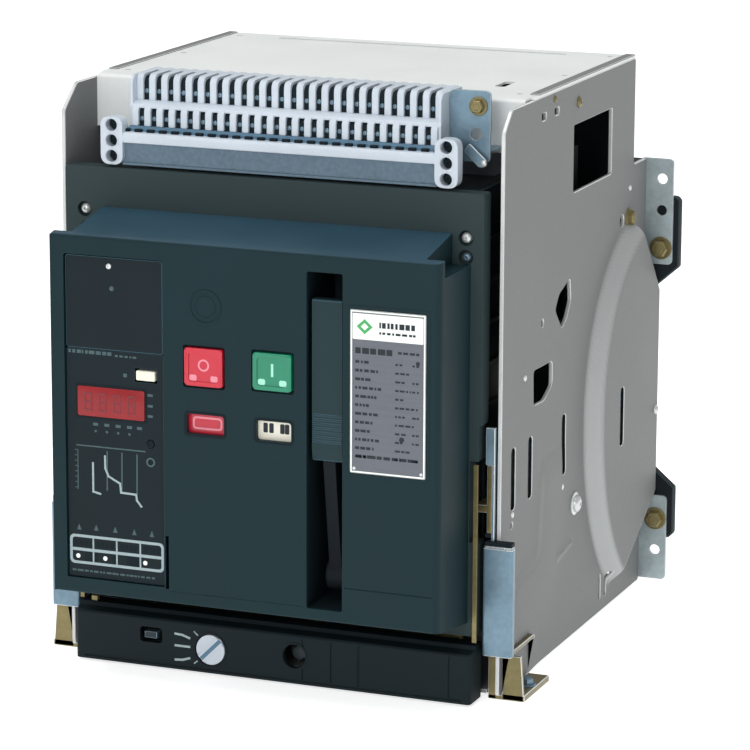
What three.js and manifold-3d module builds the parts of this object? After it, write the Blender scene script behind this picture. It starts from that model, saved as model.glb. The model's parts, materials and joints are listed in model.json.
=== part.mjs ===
// Draw-out low-voltage air circuit breaker: a three-pole breaker in its steel cradle.
// Millimetres, +Z up, +X to the right of someone who faces the cover, the cover towards -Y.
// Everything is drawn with y = 0 at the front edge of the side plates. The last lines move
// the whole assembly so that the origin is under the middle of its footprint.
import * as THREE from 'three';
import { mergeVertices } from 'three/addons/utils/BufferGeometryUtils.js';
import Module from 'manifold-3d';

const wasm = await Module();
wasm.setup();

// ---------------------------------------------------------------- driving dimensions
const GAP = 0.3;                 // clearance between pieces that touch
const COVER_FRONT = -70;         // face of the front cover
const BUTTON_PROUD = 1.5;        // how far the push-button caps stand out of it
const REAR = 349;                // tips of the main terminals
const PLATE = { outer: 171, thick: 3, bottom: 4, top: 430, rear: 333, stepZ: 347, stepY: 300 };
const PLATE_INNER = PLATE.outer - PLATE.thick;
const BULGE = 13;                // how far the stamped bulge stands out of a side plate
const BODY_HALF = 150;           // half width of the breaker's moulded body
const FASCIA = { front: -10, back: 4, half: 157, bottom: 50, top: 373, wingBottom: 206, wings: [166, 159.5] };
const COVER = {
  half: 150, bottom: 68, top: 333, wall: 3.5, rearTop: 344, rearBottom: 60, step: 136, stepBottom: 322,
};
const HOUSING = { front: 4.3, rear: 225, bottom: 52, top: 372, wall: 5 };
const POLE_PITCH = 95;
const POLES = [-POLE_PITCH, 0, POLE_PITCH];
const CHAMBER = { half: 43, front: 72, rear: 218, bottom: 62 };
const BAR = { half: 30, thick: 15 };          // main conductor section
const TERMINAL_Z = { upper: 262, lower: 132 };
const BLADE_TIP = 272;
const BASE = { front: 286, back: 300, half: 198, top: 424 };
const SHUTTER_Y = 232;
const RAIL = { low: 125, high: 175 };
const SHAFT = { y: 108, z: 170, r: 11 };
const CAM = { y: 36, z: 150 };
const BEAM = { front: -22, back: 1, half: 157, low: 2, high: 44 };
const SCREW = { x: 20, z: 23, r: 6 };
const DISC = { x: -47, z: 20, r: 11.4 };
const HANDLE = { x: 63.5, pivotY: -40, pivotZ: 96 };
const SIDES = [['left', -1], ['right', 1]];

// ---------------------------------------------------------------- solids
function toManifold(geometry) {
  const bare = geometry.clone();
  bare.deleteAttribute('normal');
  bare.deleteAttribute('uv');
  const merged = mergeVertices(bare, 1e-4);
  return new wasm.Manifold(new wasm.Mesh({
    numProp: 3,
    vertProperties: Float32Array.from(merged.attributes.position.array),
    triVerts: Uint32Array.from(merged.index.array),
  }));
}

function toGeometry(solid) {
  const mesh = solid.getMesh();
  const geometry = new THREE.BufferGeometry();
  geometry.setAttribute('position', new THREE.BufferAttribute(Float32Array.from(mesh.vertProperties), 3));
  geometry.setIndex(Array.from(mesh.triVerts));
  geometry.computeVertexNormals();
  return geometry;
}

function join(first, ...others) {
  return toGeometry(others.reduce((sum, next) => sum.add(toManifold(next)), toManifold(first)));
}

function cut(base, ...tools) {
  return toGeometry(tools.reduce((rest, tool) => rest.subtract(toManifold(tool)), toManifold(base)));
}

function box([x0, x1], [y0, y1], [z0, z1]) {
  return new THREE.BoxGeometry(x1 - x0, y1 - y0, z1 - z0)
    .translate((x0 + x1) / 2, (y0 + y1) / 2, (z0 + z1) / 2);
}

// A cylinder from a to b along one axis, about the two other coordinates.
function rod(axis, [a, b], [u, v], radius, sides = 24) {
  const geometry = new THREE.CylinderGeometry(radius, radius, b - a, sides);
  const middle = (a + b) / 2;
  if (axis === 'x') return geometry.rotateZ(-Math.PI / 2).translate(middle, u, v);
  if (axis === 'y') return geometry.translate(u, middle, v);
  return geometry.rotateX(Math.PI / 2).translate(u, v, middle);
}

function outline(points) {
  return new THREE.Shape(points.map(([u, v]) => new THREE.Vector2(u, v)));
}

// An outline drawn in (y, z) and swept along x, one in (x, z) swept along y,
// and one in (x, y) swept along z.
function sweepX(points, [x0, x1], options = {}) {
  const geometry = new THREE.ExtrudeGeometry(outline(points),
    { depth: x1 - x0, bevelEnabled: false, ...options });
  const turn = new THREE.Matrix4().set(0, 0, 1, x0, 1, 0, 0, 0, 0, 1, 0, 0, 0, 0, 0, 1);
  return geometry.applyMatrix4(turn);
}

function sweepY(points, [y0, y1]) {
  const geometry = new THREE.ExtrudeGeometry(outline(points), { depth: y1 - y0, bevelEnabled: false });
  return geometry.rotateX(Math.PI / 2).translate(0, y1, 0);
}

function sweepZ(points, [z0, z1]) {
  return new THREE.ExtrudeGeometry(outline(points), { depth: z1 - z0, bevelEnabled: false })
    .translate(0, 0, z0);
}

// The same solid on the other side of the x = 0 plane.
function mirrored(geometry) {
  const copy = geometry.index ? geometry.clone() : mergeVertices(geometry);
  copy.scale(-1, 1, 1);
  const index = Array.from(copy.index.array);
  for (let i = 0; i < index.length; i += 3) {
    [index[i + 1], index[i + 2]] = [index[i + 2], index[i + 1]];
  }
  copy.setIndex(index);
  copy.computeVertexNormals();
  return copy;
}

function paint(color, roughness, metalness) {
  return () => new THREE.MeshStandardMaterial({ color, roughness, metalness });
}

const paints = {
  plateSteel: paint(0xa2a39c, 0.5, 0.6),
  whiteSteel: paint(0xe6eae8, 0.5, 0.1),
  zincBlue: paint(0x8fa3b1, 0.4, 0.8),
  zincYellow: paint(0xb9ac7c, 0.4, 0.8),
  blackMoulding: paint(0x1e2327, 0.6, 0),
  coverMoulding: paint(0x2c3c42, 0.55, 0),
  greyMoulding: paint(0xc3c8d2, 0.5, 0),
  copper: paint(0xc9b79c, 0.3, 0.9),
  redButton: paint(0xc83246, 0.4, 0),
  greenButton: paint(0x12906c, 0.4, 0),
  display: paint(0xb43444, 0.2, 0),
  label: paint(0x9aa6a8, 0.5, 0.1),
  white: paint(0xe9e9e4, 0.5, 0),
};

const assembly = new THREE.Group();

function add(name, geometry, finish, x = 0) {
  const mesh = new THREE.Mesh(geometry, finish());
  mesh.name = name;
  mesh.position.x = x;
  assembly.add(mesh);
}

function addPair(name, rightGeometry, finish) {
  for (const [side, sign] of SIDES) {
    add(`${side}_${name}`, sign > 0 ? rightGeometry : mirrored(rightGeometry), finish);
  }
}

// ---------------------------------------------------------------- cradle: side plates
// Outline of the stamped bulge, in (y, z): an upper and a lower arc that meet on the
// upright front stretch, closed by slanted ends at the rear edge.
function bulgeOutline(inset) {
  const arcs = [
    { y: 325, z: 170, radius: 140 - inset, from: Math.PI, to: THREE.MathUtils.degToRad(102) },
    { y: 363, z: 160, radius: 178 - inset, from: THREE.MathUtils.degToRad(232), to: Math.PI },
  ];
  const steps = 7;
  const [upper, lower] = arcs.map((arc) => Array.from({ length: steps + 1 }, (_, i) => {
    const angle = arc.from + ((arc.to - arc.from) * i) / steps;
    return [arc.y + arc.radius * Math.cos(angle), arc.z + arc.radius * Math.sin(angle)];
  }));
  return [...lower, ...upper, [PLATE.rear, 246 - inset], [PLATE.rear, 80 + inset]];
}

// A raised field with sloping flanks, from the plate's inner face outwards.
function bulgeSolid(inset, lift) {
  const slope = 12;
  const base = PLATE_INNER - 20;
  const raised = sweepX(bulgeOutline(inset + slope), [base, PLATE_INNER + 0.01], {
    bevelEnabled: true, bevelThickness: lift, bevelSize: slope, bevelSegments: 1, depth: 20,
  });
  const behind = box([base - 40, PLATE_INNER], [0, 500], [-100, 500]);
  const beyond = box([base - 60, PLATE.outer + 60], [PLATE.rear, 500], [-100, 500]);
  return cut(raised, behind, beyond);
}

function sidePlate() {
  const inner = PLATE_INNER;
  const outer = PLATE.outer;
  const sheet = sweepX([
    [0, PLATE.bottom], [PLATE.rear, PLATE.bottom], [PLATE.rear, PLATE.stepZ],
    [PLATE.stepY, PLATE.stepZ], [PLATE.stepY, PLATE.top], [16, PLATE.top], [0, 415],
  ], [inner, outer]);
  const through = [inner - 5, outer + BULGE + 5];
  const window = box(through, [152, 243], [348.5, 399]);
  const leaf = sweepX([[148, 285], [123, 277], [115, 267], [131, 250.5], [142, 256], [151, 268]], through);
  const quad = sweepX([[68, 231], [69, 205], [93, 204], [110.5, 212], [110, 230]], through);
  const slots = [26, 63, 139, 241].map((y) => box(through, [y - 5, y + 5], [137, 183]));
  const notches = [83.5, 112].map((y) => box(through, [y - 6, y + 6], [413, 418]));
  const lowSlots = [232, 246].map((y) => box(through, [y - 3, y + 3], [14, 34]));
  const swollen = join(sheet, bulgeSolid(0, BULGE + PLATE.thick));
  return cut(swollen, bulgeSolid(PLATE.thick, BULGE), window, leaf, quad, ...slots, ...notches,
    ...lowSlots);
}

// Steel angle down the rear edge of a side plate, with an upper and a lower ear.
function rearAngle() {
  const web = box([PLATE_INNER - 2.5, PLATE_INNER - GAP], [312, 334], [8, 342]);
  const ears = [[263, 347, [331, 305]], [6, 75, [30]]].map(([low, high, levels]) => {
    const ear = box([PLATE_INNER - 2.5, 193], [PLATE.rear + GAP, PLATE.rear + 2.8], [low, high]);
    return cut(ear, ...levels.map((z) => rod('y', [320, 350], [184, z], 4, 16)));
  });
  return join(web, ...ears);
}

addPair('side_plate', sidePlate(), paints.plateSteel);
addPair('rear_angle', rearAngle(), paints.zincBlue);

// ---------------------------------------------------------------- cradle: sheets and feet
const FRONT_SHEET_Y = 49;
function topPlate() {
  const top = box([-PLATE.outer, PLATE.outer], [FRONT_SHEET_Y, 300], [PLATE.top + GAP, 432]);
  const drop = box([-PLATE_INNER + 1, PLATE_INNER - 1], [FRONT_SHEET_Y, FRONT_SHEET_Y + 1.7], [393, 432]);
  return join(top, drop);
}

add('top_plate', topPlate(), paints.whiteSteel);
// Floor of the cradle, narrower in front, where the feet stand.
function basePlate() {
  const wide = PLATE_INNER - GAP;
  const narrow = 160.5;
  return sweepZ([
    [-narrow, 4], [narrow, 4], [narrow, 62], [wide, 62], [wide, 330], [-wide, 330], [-wide, 62], [-narrow, 62],
  ], [4, 7]);
}
add('base_plate', basePlate(), paints.plateSteel);

function foot() {
  const block = box([161, 189], [5, 60], [0, 35]);
  const platePocket = box([PLATE_INNER - GAP, PLATE.outer + GAP], [-1, 100], [PLATE.bottom - GAP, 40]);
  const boltHole = rod('z', [-1, 40], [180, 32], 4.5, 16);
  return cut(block, platePocket, boltHole);
}
addPair('foot', foot(), paints.zincYellow);

// Zinc bracket on the front corner: a block that caps the plate's edge, and a narrow post
// above it. The sliding rail looks out through the notch in the post.
function cornerBracket() {
  const block = box([160.5, 183], [-8, -GAP], [36, 118]);
  const post = box([160.5, PLATE_INNER - 0.6], [-4, -GAP], [117, 204]);
  const railNotch = box([150, 165.2], [-20, 20], [RAIL.low - 5, RAIL.high + 1.5]);
  return cut(join(block, post), railNotch);
}
addPair('corner_bracket', cornerBracket(), paints.zincBlue);

// ---------------------------------------------------------------- cradle: drawer rails
// Fixed C rail on the plate's inner face, and the sliding rail inside it. The ledge on the
// sliding rail carries the breaker's moulded side rib.
const RIB = { low: RAIL.low + 21, high: RAIL.low + 27 };
addPair('guide_rail', sweepY([
  [158, RAIL.low - 4], [PLATE_INNER - GAP, RAIL.low - 4], [PLATE_INNER - GAP, RAIL.high + 4],
  [158, RAIL.high + 4], [158, RAIL.high + 1], [165, RAIL.high + 1], [165, RAIL.low - 1], [158, RAIL.low - 1],
], [3, 282]), paints.zincBlue);

addPair('slide_rail', sweepY([
  [151, RIB.low - 6], [160, RIB.low - 6], [160, RAIL.low], [164, RAIL.low], [164, RAIL.high],
  [160, RAIL.high], [160, RIB.low - GAP], [151, RIB.low - GAP],
], [1, 270]), paints.zincYellow);

// ---------------------------------------------------------------- cradle: racking gear
function frontBeam() {
  const { front, back, half, low, high } = BEAM;
  const shell = box([-half, half], [front, back], [low, high]);
  const hollow = box([-half + 5, half - 5], [front + 5, back + 1], [low + 4, high - 4]);
  const crankHole = rod('y', [front - 1, front + 8], [SCREW.x, SCREW.z], 9);
  const discHole = rod('y', [front - 1, front + 8], [DISC.x, DISC.z], DISC.r + 0.6);
  const lockHole = box([-104, -86], [front - 1, front + 8], [22, 31]);
  return cut(shell, hollow, crankHole, discHole, lockHole);
}
add('front_beam', frontBeam(), paints.blackMoulding);

// Hexagonal crank end, collar and plain thread core.
function rackingScrew() {
  const hex = rod('y', [-12, -5], [SCREW.x, SCREW.z], SCREW.r, 6);
  const collar = rod('y', [-6, -1], [SCREW.x, SCREW.z], 9);
  const thread = rod('y', [-2, 200], [SCREW.x, SCREW.z], SCREW.r);
  return join(hex, collar, thread);
}
add('racking_screw', rackingScrew(), paints.zincYellow);

function positionDisc() {
  const disc = rod('y', [BEAM.front - 0.6, BEAM.front + 3], [DISC.x, DISC.z], DISC.r);
  const stem = rod('y', [BEAM.front + 2, -4], [DISC.x, DISC.z], 3, 16);
  const slot = box([-DISC.r * 1.1, DISC.r * 1.1], [BEAM.front - 1, BEAM.front + 1], [-1.2, 1.2])
    .rotateY(THREE.MathUtils.degToRad(-45)).translate(DISC.x, 0, DISC.z);
  return cut(join(disc, stem), slot);
}
add('position_disc', positionDisc(), paints.white);

add('padlock_slide', join(
  box([-100, -90], [BEAM.front - 0.5, -3], [24, 29]),
  box([-103, -87], [-4, -1], [20, 33]),
), paints.zincBlue);

// Cross slide that the screw drives. Its two hooks take the breaker along.
function rackingCarriage() {
  const bar = box([-120, 120], [64, 88], [11, 42]);
  const hooks = [-1, 1].map((sign) => box([sign * 110 - 6, sign * 110 + 6], [66, 86], [40, 49]));
  return cut(join(bar, ...hooks), rod('y', [50, 100], [SCREW.x, SCREW.z], SCREW.r + 0.5));
}
add('racking_carriage', rackingCarriage(), paints.zincYellow);

// ---------------------------------------------------------------- cradle: rear base, terminals
const EAR = { out: BASE.half, back: 343.5, front: PLATE.rear + 3.1 };
function rearBase() {
  const core = box([-PLATE_INNER + 3, PLATE_INNER - 3], [BASE.front, BASE.back], [40, BASE.top]);
  const cheeks = [-1, 1].map((sign) => box(
    [Math.min(sign * 150, sign * 165), Math.max(sign * 150, sign * 165)], [BASE.back - 1, EAR.back], [40, 345],
  ));
  const barriers = [-0.5, 0.5].map((side) => box(
    [side * POLE_PITCH - 3, side * POLE_PITCH + 3], [BASE.back - 1, EAR.back], [40, 345],
  ));
  const ear = sweepY([
    [150, 345], [150, 40], [EAR.out - 4, 40], [EAR.out, 44], [EAR.out, 82], [172, 104],
    [172, 238], [EAR.out, 261], [EAR.out, 314], [EAR.out - 3, 317], [174, 317], [174, 345],
  ], [EAR.front, EAR.back]);
  const windows = POLES.flatMap((x) => Object.values(TERMINAL_Z).map((z) => box(
    [x - BAR.half - GAP, x + BAR.half + GAP], [BASE.front - 5, BASE.back + 5],
    [z - BAR.thick / 2 - GAP, z + BAR.thick / 2 + GAP],
  )));
  return cut(join(core, ...cheeks, ...barriers, ear, mirrored(ear)), ...windows);
}
add('rear_base', rearBase(), paints.blackMoulding);

// Copper bar through the base, with a bolt pad behind and a finger cluster in front.
const JAW = { front: 243, thick: 9 };
function mainTerminal(z) {
  const half = BAR.thick / 2;
  const bar = box([-BAR.half, BAR.half], [BLADE_TIP + 4, REAR], [z - half, z + half]);
  const padHoles = [-15, 15].map((x) => rod('z', [z - 20, z + 20], [x, REAR - 22], 5.5, 20));
  const jaws = [-1, 1].map((sign) => {
    const near = z + sign * (half + 0.4);
    const far = z + sign * (half + JAW.thick);
    return box([-BAR.half, BAR.half], [JAW.front, BASE.front - 1], [Math.min(near, far), Math.max(near, far)]);
  });
  const web = box([-BAR.half, BAR.half], [BLADE_TIP + 4, BASE.front - 1],
    [z - half - JAW.thick, z + half + JAW.thick]);
  return cut(join(bar, web, ...jaws), ...padHoles);
}

// ---------------------------------------------------------------- breaker: poles
const CONTACT = { y: 176, z: TERMINAL_Z.upper - BAR.thick / 2 - 3 };
function breakerBar(z, inner) {
  const half = BAR.thick / 2;
  return box([-BAR.half, BAR.half], [inner, BLADE_TIP], [z - half, z + half]);
}

// Fixed contact: the upper bar, turned down at its inner end to carry the contact tip.
function upperContact() {
  const bar = breakerBar(TERMINAL_Z.upper, 178);
  const drop = box([-BAR.half, BAR.half], [178, 188], [232, TERMINAL_Z.upper]);
  const tip = box([-22, 22], [CONTACT.y, 179], [236, 252]);
  return join(bar, drop, tip);
}

function lowerContact() {
  const bar = breakerBar(TERMINAL_Z.lower, 168);
  const block = box([-BAR.half, BAR.half], [160, 172], [108, 140]);
  return join(bar, block);
}

// Contact arm clamped on the main shaft; its tip meets the fixed contact.
function movingContact() {
  const arm = sweepX([
    [SHAFT.y - 16, SHAFT.z - 18], [SHAFT.y + 20, SHAFT.z - 16], [SHAFT.y + 34, SHAFT.z + 24],
    [CONTACT.y - 4, 232], [CONTACT.y - 4, 256], [CONTACT.y - 14, 260], [SHAFT.y - 10, SHAFT.z + 20],
  ], [-24, 24]);
  const tip = box([-20, 20], [CONTACT.y - 5, CONTACT.y - GAP], [236, 252]);
  const bore = rod('x', [-40, 40], [SHAFT.y, SHAFT.z], SHAFT.r + GAP);
  return cut(join(arm, tip), bore);
}

// Arc chute: an open-topped stack of slots above the contacts.
function arcChute() {
  const shell = box([-38, 38], [124, 214], [282, 383]);
  const slots = Array.from({ length: 8 }, (_, i) => {
    const y = 131 + i * 10;
    return box([-32, 32], [y, y + 6], [288, 390]);
  });
  const mouth = box([-30, 30], [131, 207], [275, 296]);
  return cut(shell, ...slots, mouth);
}

POLES.forEach((x, i) => {
  const pole = i + 1;
  add(`upper_terminal_${pole}`, mainTerminal(TERMINAL_Z.upper), paints.copper, x);
  add(`lower_terminal_${pole}`, mainTerminal(TERMINAL_Z.lower), paints.copper, x);
  add(`upper_contact_${pole}`, upperContact(), paints.copper, x);
  add(`lower_contact_${pole}`, lowerContact(), paints.copper, x);
  add(`moving_contact_${pole}`, movingContact(), paints.copper, x);
  add(`arc_chute_${pole}`, arcChute(), paints.greyMoulding, x);
});

// Safety shutters: insulating panels in front of the clusters. Each covers its windows by
// sliding away from the middle: the upper one upwards, the lower one downwards.
function shutter(z, away, tab) {
  const level = (from, to) => [z + away * from, z + away * to].sort((a, b) => a - b);
  const thickness = [SHUTTER_Y, SHUTTER_Y + 4];
  const panel = box([-145, 145], thickness, level(-42, 22));
  const ends = box([-PLATE_INNER + 1, PLATE_INNER - 1], thickness, tab);
  const windows = POLES.map((x) => box([x - 34, x + 34], [SHUTTER_Y - 5, SHUTTER_Y + 9], level(-17, 11)));
  return cut(join(panel, ends), ...windows);
}
add('upper_shutter', shutter(TERMINAL_Z.upper, 1, [274, 284]), paints.greyMoulding);
add('lower_shutter', shutter(TERMINAL_Z.lower, -1, [110, 118]), paints.greyMoulding);

// ---------------------------------------------------------------- breaker: moulded body
function poleHousing() {
  const { front, rear, bottom, top, wall } = HOUSING;
  const body = box([-BODY_HALF, BODY_HALF], [front, rear], [bottom, top]);
  const ribs = [-1, 1].map((sign) => box(
    [Math.min(sign * 149, sign * 157), Math.max(sign * 149, sign * 157)],
    [20, 215], [RIB.low, RIB.high],
  ));
  const mechanismBay = box([-BODY_HALF + wall, BODY_HALF - wall], [front - 5, 66], [bottom + wall, top - wall]);
  const chambers = POLES.map((x) => box([x - CHAMBER.half, x + CHAMBER.half],
    [CHAMBER.front, CHAMBER.rear], [CHAMBER.bottom, top + 5]));
  const barSlots = POLES.flatMap((x) => Object.values(TERMINAL_Z).map((z) => box(
    [x - BAR.half - GAP, x + BAR.half + GAP], [CHAMBER.rear - 5, rear + 5],
    [z - BAR.thick / 2 - GAP, z + BAR.thick / 2 + GAP],
  )));
  const shaftBore = rod('x', [-BODY_HALF + wall, BODY_HALF - wall], [SHAFT.y, SHAFT.z], SHAFT.r + 0.5);
  const crankSlots = [-POLE_PITCH / 2, POLE_PITCH / 2].map((x) => box(
    [x - 3.5, x + 3.5], [60, 98], [SHAFT.z - 26, SHAFT.z + 30],
  ));
  return cut(join(body, ...ribs), mechanismBay, ...chambers, ...barSlots, shaftBore, ...crankSlots);
}
add('pole_housing', poleHousing(), paints.blackMoulding);

add('main_shaft', rod('x', [-138, 138], [SHAFT.y, SHAFT.z], SHAFT.r - 0.1), paints.zincYellow);

function fascia() {
  const { front, back, half, bottom, top, wingBottom, wings } = FASCIA;
  const plate = join(
    box([-half, half], [front, back], [bottom, top]),
    box([-wings[0], wings[1]], [front, back], [wingBottom, top]),
  );
  const handleHole = box([44, 80], [front - 5, back + 5], [80, 150]);
  const bayHole = box([-120, 36], [front - 5, back + 5], [90, 320]);
  const railNotch = box([BODY_HALF + 0.6, half + 5], [front - 5, back + 5], [RAIL.low - 5, RAIL.high + 5]);
  return cut(plate, handleHole, bayHole, railNotch, mirrored(railNotch));
}
add('fascia', fascia(), paints.blackMoulding);

// Spring-charging gear and coils in the bay behind the fascia.
function camShaft() {
  const shaft = rod('x', [-30, 110], [CAM.y, CAM.z], 8);
  const ratchet = rod('x', [84, 90], [CAM.y, CAM.z], 22, 20);
  const cam = sweepX([[-9, -9], [9, -9], [20, 16], [-9, 10]], [-14, -2]).translate(0, CAM.y, CAM.z);
  return join(shaft, ratchet, cam);
}
add('cam_shaft', camShaft(), paints.zincYellow);
add('charging_motor', join(
  box([-130, -84], [12, 60], [100, 160]),
  rod('x', [-86, -40], [36, 130], 18),
), paints.zincBlue);
add('closing_coil', join(
  rod('z', [250, 290], [24, 36], 16),
  rod('z', [240, 252], [24, 36], 4, 16),
), paints.blackMoulding);

// ---------------------------------------------------------------- breaker: front cover
const UNIT = { x: [-138.6, -62], z: [80, 319] };
const BUTTON = { off: { x: [-44, -14.5], z: [231.5, 259] }, on: { x: [9, 38.5], z: [233, 260] } };
const FLAG = { contact: { x: [-43, -14], z: [195.5, 210.5] }, charge: { x: [11, 38], z: [196, 210.5] } };
const LEVER_SLOT = { x: [49.5, 77], z: [76, 321] };

function grown([a, b], by) {
  return [a - by, b + by];
}

function frontCover() {
  const { half, bottom, top, wall, rearTop, rearBottom } = COVER;
  const back = FASCIA.front - GAP;
  const shell = sweepX([
    [COVER_FRONT, bottom], [back, rearBottom], [back, rearTop], [COVER_FRONT, top],
  ], [-half, half]);
  const hollow = sweepX([
    [COVER_FRONT + wall, bottom + wall], [back + 1, rearBottom + wall],
    [back + 1, rearTop - wall], [COVER_FRONT + wall, top - wall],
  ], [-half + wall, half - wall]);
  // The upper corners are stepped, so that a driver reaches the screws in the fascia.
  const { step, stepBottom } = COVER;
  const corner = box([step, half + 5], [COVER_FRONT + 8, back + 1], [stepBottom, rearTop + 5]);
  const lining = 2.4;
  const cornerWall = box(
    [step - lining, half + 5], [COVER_FRONT + 8 - lining, back + 2], [stepBottom - lining, rearTop + 5],
  );
  const cavity = cut(hollow, cornerWall, mirrored(cornerWall));
  const through = [COVER_FRONT - 5, COVER_FRONT + 10];
  const openings = [
    corner, mirrored(corner),
    box(grown(UNIT.x, 0.5), through, grown(UNIT.z, 0.5)),
    box(LEVER_SLOT.x, through, LEVER_SLOT.z),
    ...Object.values(BUTTON).map(({ x, z }) => box(grown(x, 0.4), through, grown(z, 0.4))),
    ...Object.values(FLAG).map(({ x, z }) => box(x, through, z)),
  ];
  return cut(shell, cavity, ...openings);
}
add('front_cover', frontCover(), paints.coverMoulding);

const DISPLAY = { x: [-130, -77], z: [201, 223] };
const RESET = { x: [-84, -67.5], z: [230, 239] };
const TEST = { x: -72.5, z: 184.5, r: 3 };
function tripUnit() {
  const body = box(UNIT.x, [COVER_FRONT + 2, -16], UNIT.z);
  const screen = box(grown(DISPLAY.x, GAP), [COVER_FRONT, COVER_FRONT + 4], grown(DISPLAY.z, GAP));
  const reset = box(grown(RESET.x, 0.4), [COVER_FRONT, -48], grown(RESET.z, 0.4));
  const test = rod('y', [COVER_FRONT, -56], [TEST.x, TEST.z], TEST.r + 0.4, 16);
  return cut(body, screen, reset, test);
}
add('trip_unit', tripUnit(), paints.coverMoulding);
add('display_lens', box(DISPLAY.x, [COVER_FRONT + 1.4, COVER_FRONT + 3.7], DISPLAY.z), paints.display);
add(
  'nameplate', box([83, 139.8], [COVER_FRONT - 0.9, COVER_FRONT - GAP], [179.5, 297]),
  paints.label,
);

// Buttons: a cap in the cover's opening on a stem into the body.
function pushButton({ x, z }) {
  const cap = box(x, [COVER_FRONT - BUTTON_PROUD, COVER_FRONT + 8], z);
  const middle = [(x[0] + x[1]) / 2, (z[0] + z[1]) / 2];
  return join(cap, rod('y', [COVER_FRONT + 7, -20], middle, 4, 16));
}
add('off_button', pushButton(BUTTON.off), paints.redButton);
add('on_button', pushButton(BUTTON.on), paints.greenButton);
add('reset_button', join(
  box(RESET.x, [COVER_FRONT, COVER_FRONT + 6], RESET.z),
  rod('y', [COVER_FRONT + 5, COVER_FRONT + 16], [-75.75, 234.5], 3, 12),
), paints.white);
add('test_button', rod('y', [COVER_FRONT + 1, COVER_FRONT + 10], [TEST.x, TEST.z], TEST.r, 16),
  paints.blackMoulding);

// Two-colour flags on short slides behind their windows.
function flag({ x, z }) {
  const height = z[1] - z[0];
  return box(grown(x, 2), [COVER_FRONT + 4.5, COVER_FRONT + 6.5], [z[0] - height - 3, z[1] + 2]);
}
add('contact_flag', flag(FLAG.contact), paints.redButton);
add('charge_flag', flag(FLAG.charge), paints.white);

// Spring-charging handle: a long lever with its hub low behind the cover.
function chargingHandle() {
  const { x, pivotY, pivotZ } = HANDLE;
  const grip = box([x - 11.5, x + 12], [COVER_FRONT + 3, COVER_FRONT + 17], [184, 301]);
  const arm = sweepX([
    [pivotY - 9, pivotZ - 2], [pivotY + 9, pivotZ - 2], [pivotY + 8, pivotZ + 14],
    [COVER_FRONT + 17, 190], [COVER_FRONT + 17, 214], [COVER_FRONT + 6, 214], [COVER_FRONT + 6, 186],
  ], [x - 5, x + 5]);
  const hub = rod('x', [x - 9, x + 9], [pivotY, pivotZ], 12);
  return join(grip, arm, hub);
}
add('charging_handle', chargingHandle(), paints.coverMoulding);

// ---------------------------------------------------------------- secondary terminals
// Fixed block on the cradle: two tiers of rounded fingers on a blue base strip.
const FIXED = { half: 121, front: 20, back: 48, low: 386, high: 440, count: 25 };
function fixedTerminalBlock() {
  const pitch = (2 * FIXED.half) / FIXED.count;
  const core = box([-FIXED.half, FIXED.half], [FIXED.front + 10, FIXED.back], [FIXED.low, FIXED.high - 6]);
  const foot = box([-FIXED.half, FIXED.half], [4, FIXED.back], [FIXED.low, FIXED.low + 9]);
  const fingers = Array.from({ length: FIXED.count }, (_, i) => {
    const x = -FIXED.half + (i + 0.5) * pitch;
    return box([x - pitch * 0.29, x + pitch * 0.29], [FIXED.front, FIXED.back], [FIXED.low + 8, FIXED.high]);
  });
  return join(core, foot, ...fingers);
}
add('fixed_terminal_block', fixedTerminalBlock(), paints.greyMoulding);

function terminalBracket() {
  const face = box([FIXED.half + GAP, 152], [22, 24.5], [386, 441]);
  const foot = box([FIXED.half + GAP, 152], [22, FRONT_SHEET_Y - GAP], [396, 398.5]);
  const hole = rod('y', [10, 60], [141, 409], 5, 20);
  return cut(join(face, foot), hole);
}
add('terminal_bracket', terminalBracket(), paints.zincBlue);

// Plug strip on the breaker: a long socket bar between two end caps.
const PLUG = { half: 138.5, cap: 17.5, front: -8, back: 2.5, low: 375, high: 410, bar: 399 };
function plugStrip() {
  const bar = box([-PLUG.half + 5, PLUG.half - 5], [PLUG.front + 1, PLUG.back], [PLUG.low, PLUG.bar]);
  const recess = box([-PLUG.half + PLUG.cap, PLUG.half - PLUG.cap], [PLUG.front - 5, PLUG.front + 5],
    [PLUG.low - 5, PLUG.bar - 10]);
  const caps = [-1, 1].map((sign) => {
    const centre = sign * (PLUG.half - PLUG.cap / 2);
    return box(grown([centre, centre], PLUG.cap / 2), [PLUG.front, PLUG.back], [PLUG.low, PLUG.high]);
  });
  return join(cut(bar, recess), ...caps);
}
add('plug_strip', plugStrip(), paints.greyMoulding);

// ---------------------------------------------------------------- origin under the middle
assembly.position.y = -(COVER_FRONT - BUTTON_PROUD + REAR) / 2;
assembly.name = 'air_circuit_breaker';

export default assembly;
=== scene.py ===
"""Draw-out air circuit breaker in its steel cradle: the looks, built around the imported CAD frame.

Shapes are drawn in millimetres, with y = 0 at the front edge of the side plates and z = 0 at the
floor, and each piece is moved into the frame when it is made. Camera and light come first, then
the materials, the drawing tools, one section for each group of pieces, and last the floor.
"""

import json
import math
import random

import bmesh
import bpy
import numpy as np
from mathutils import Matrix, Vector
from mathutils.geometry import delaunay_2d_cdt, tessellate_polygon


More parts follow.
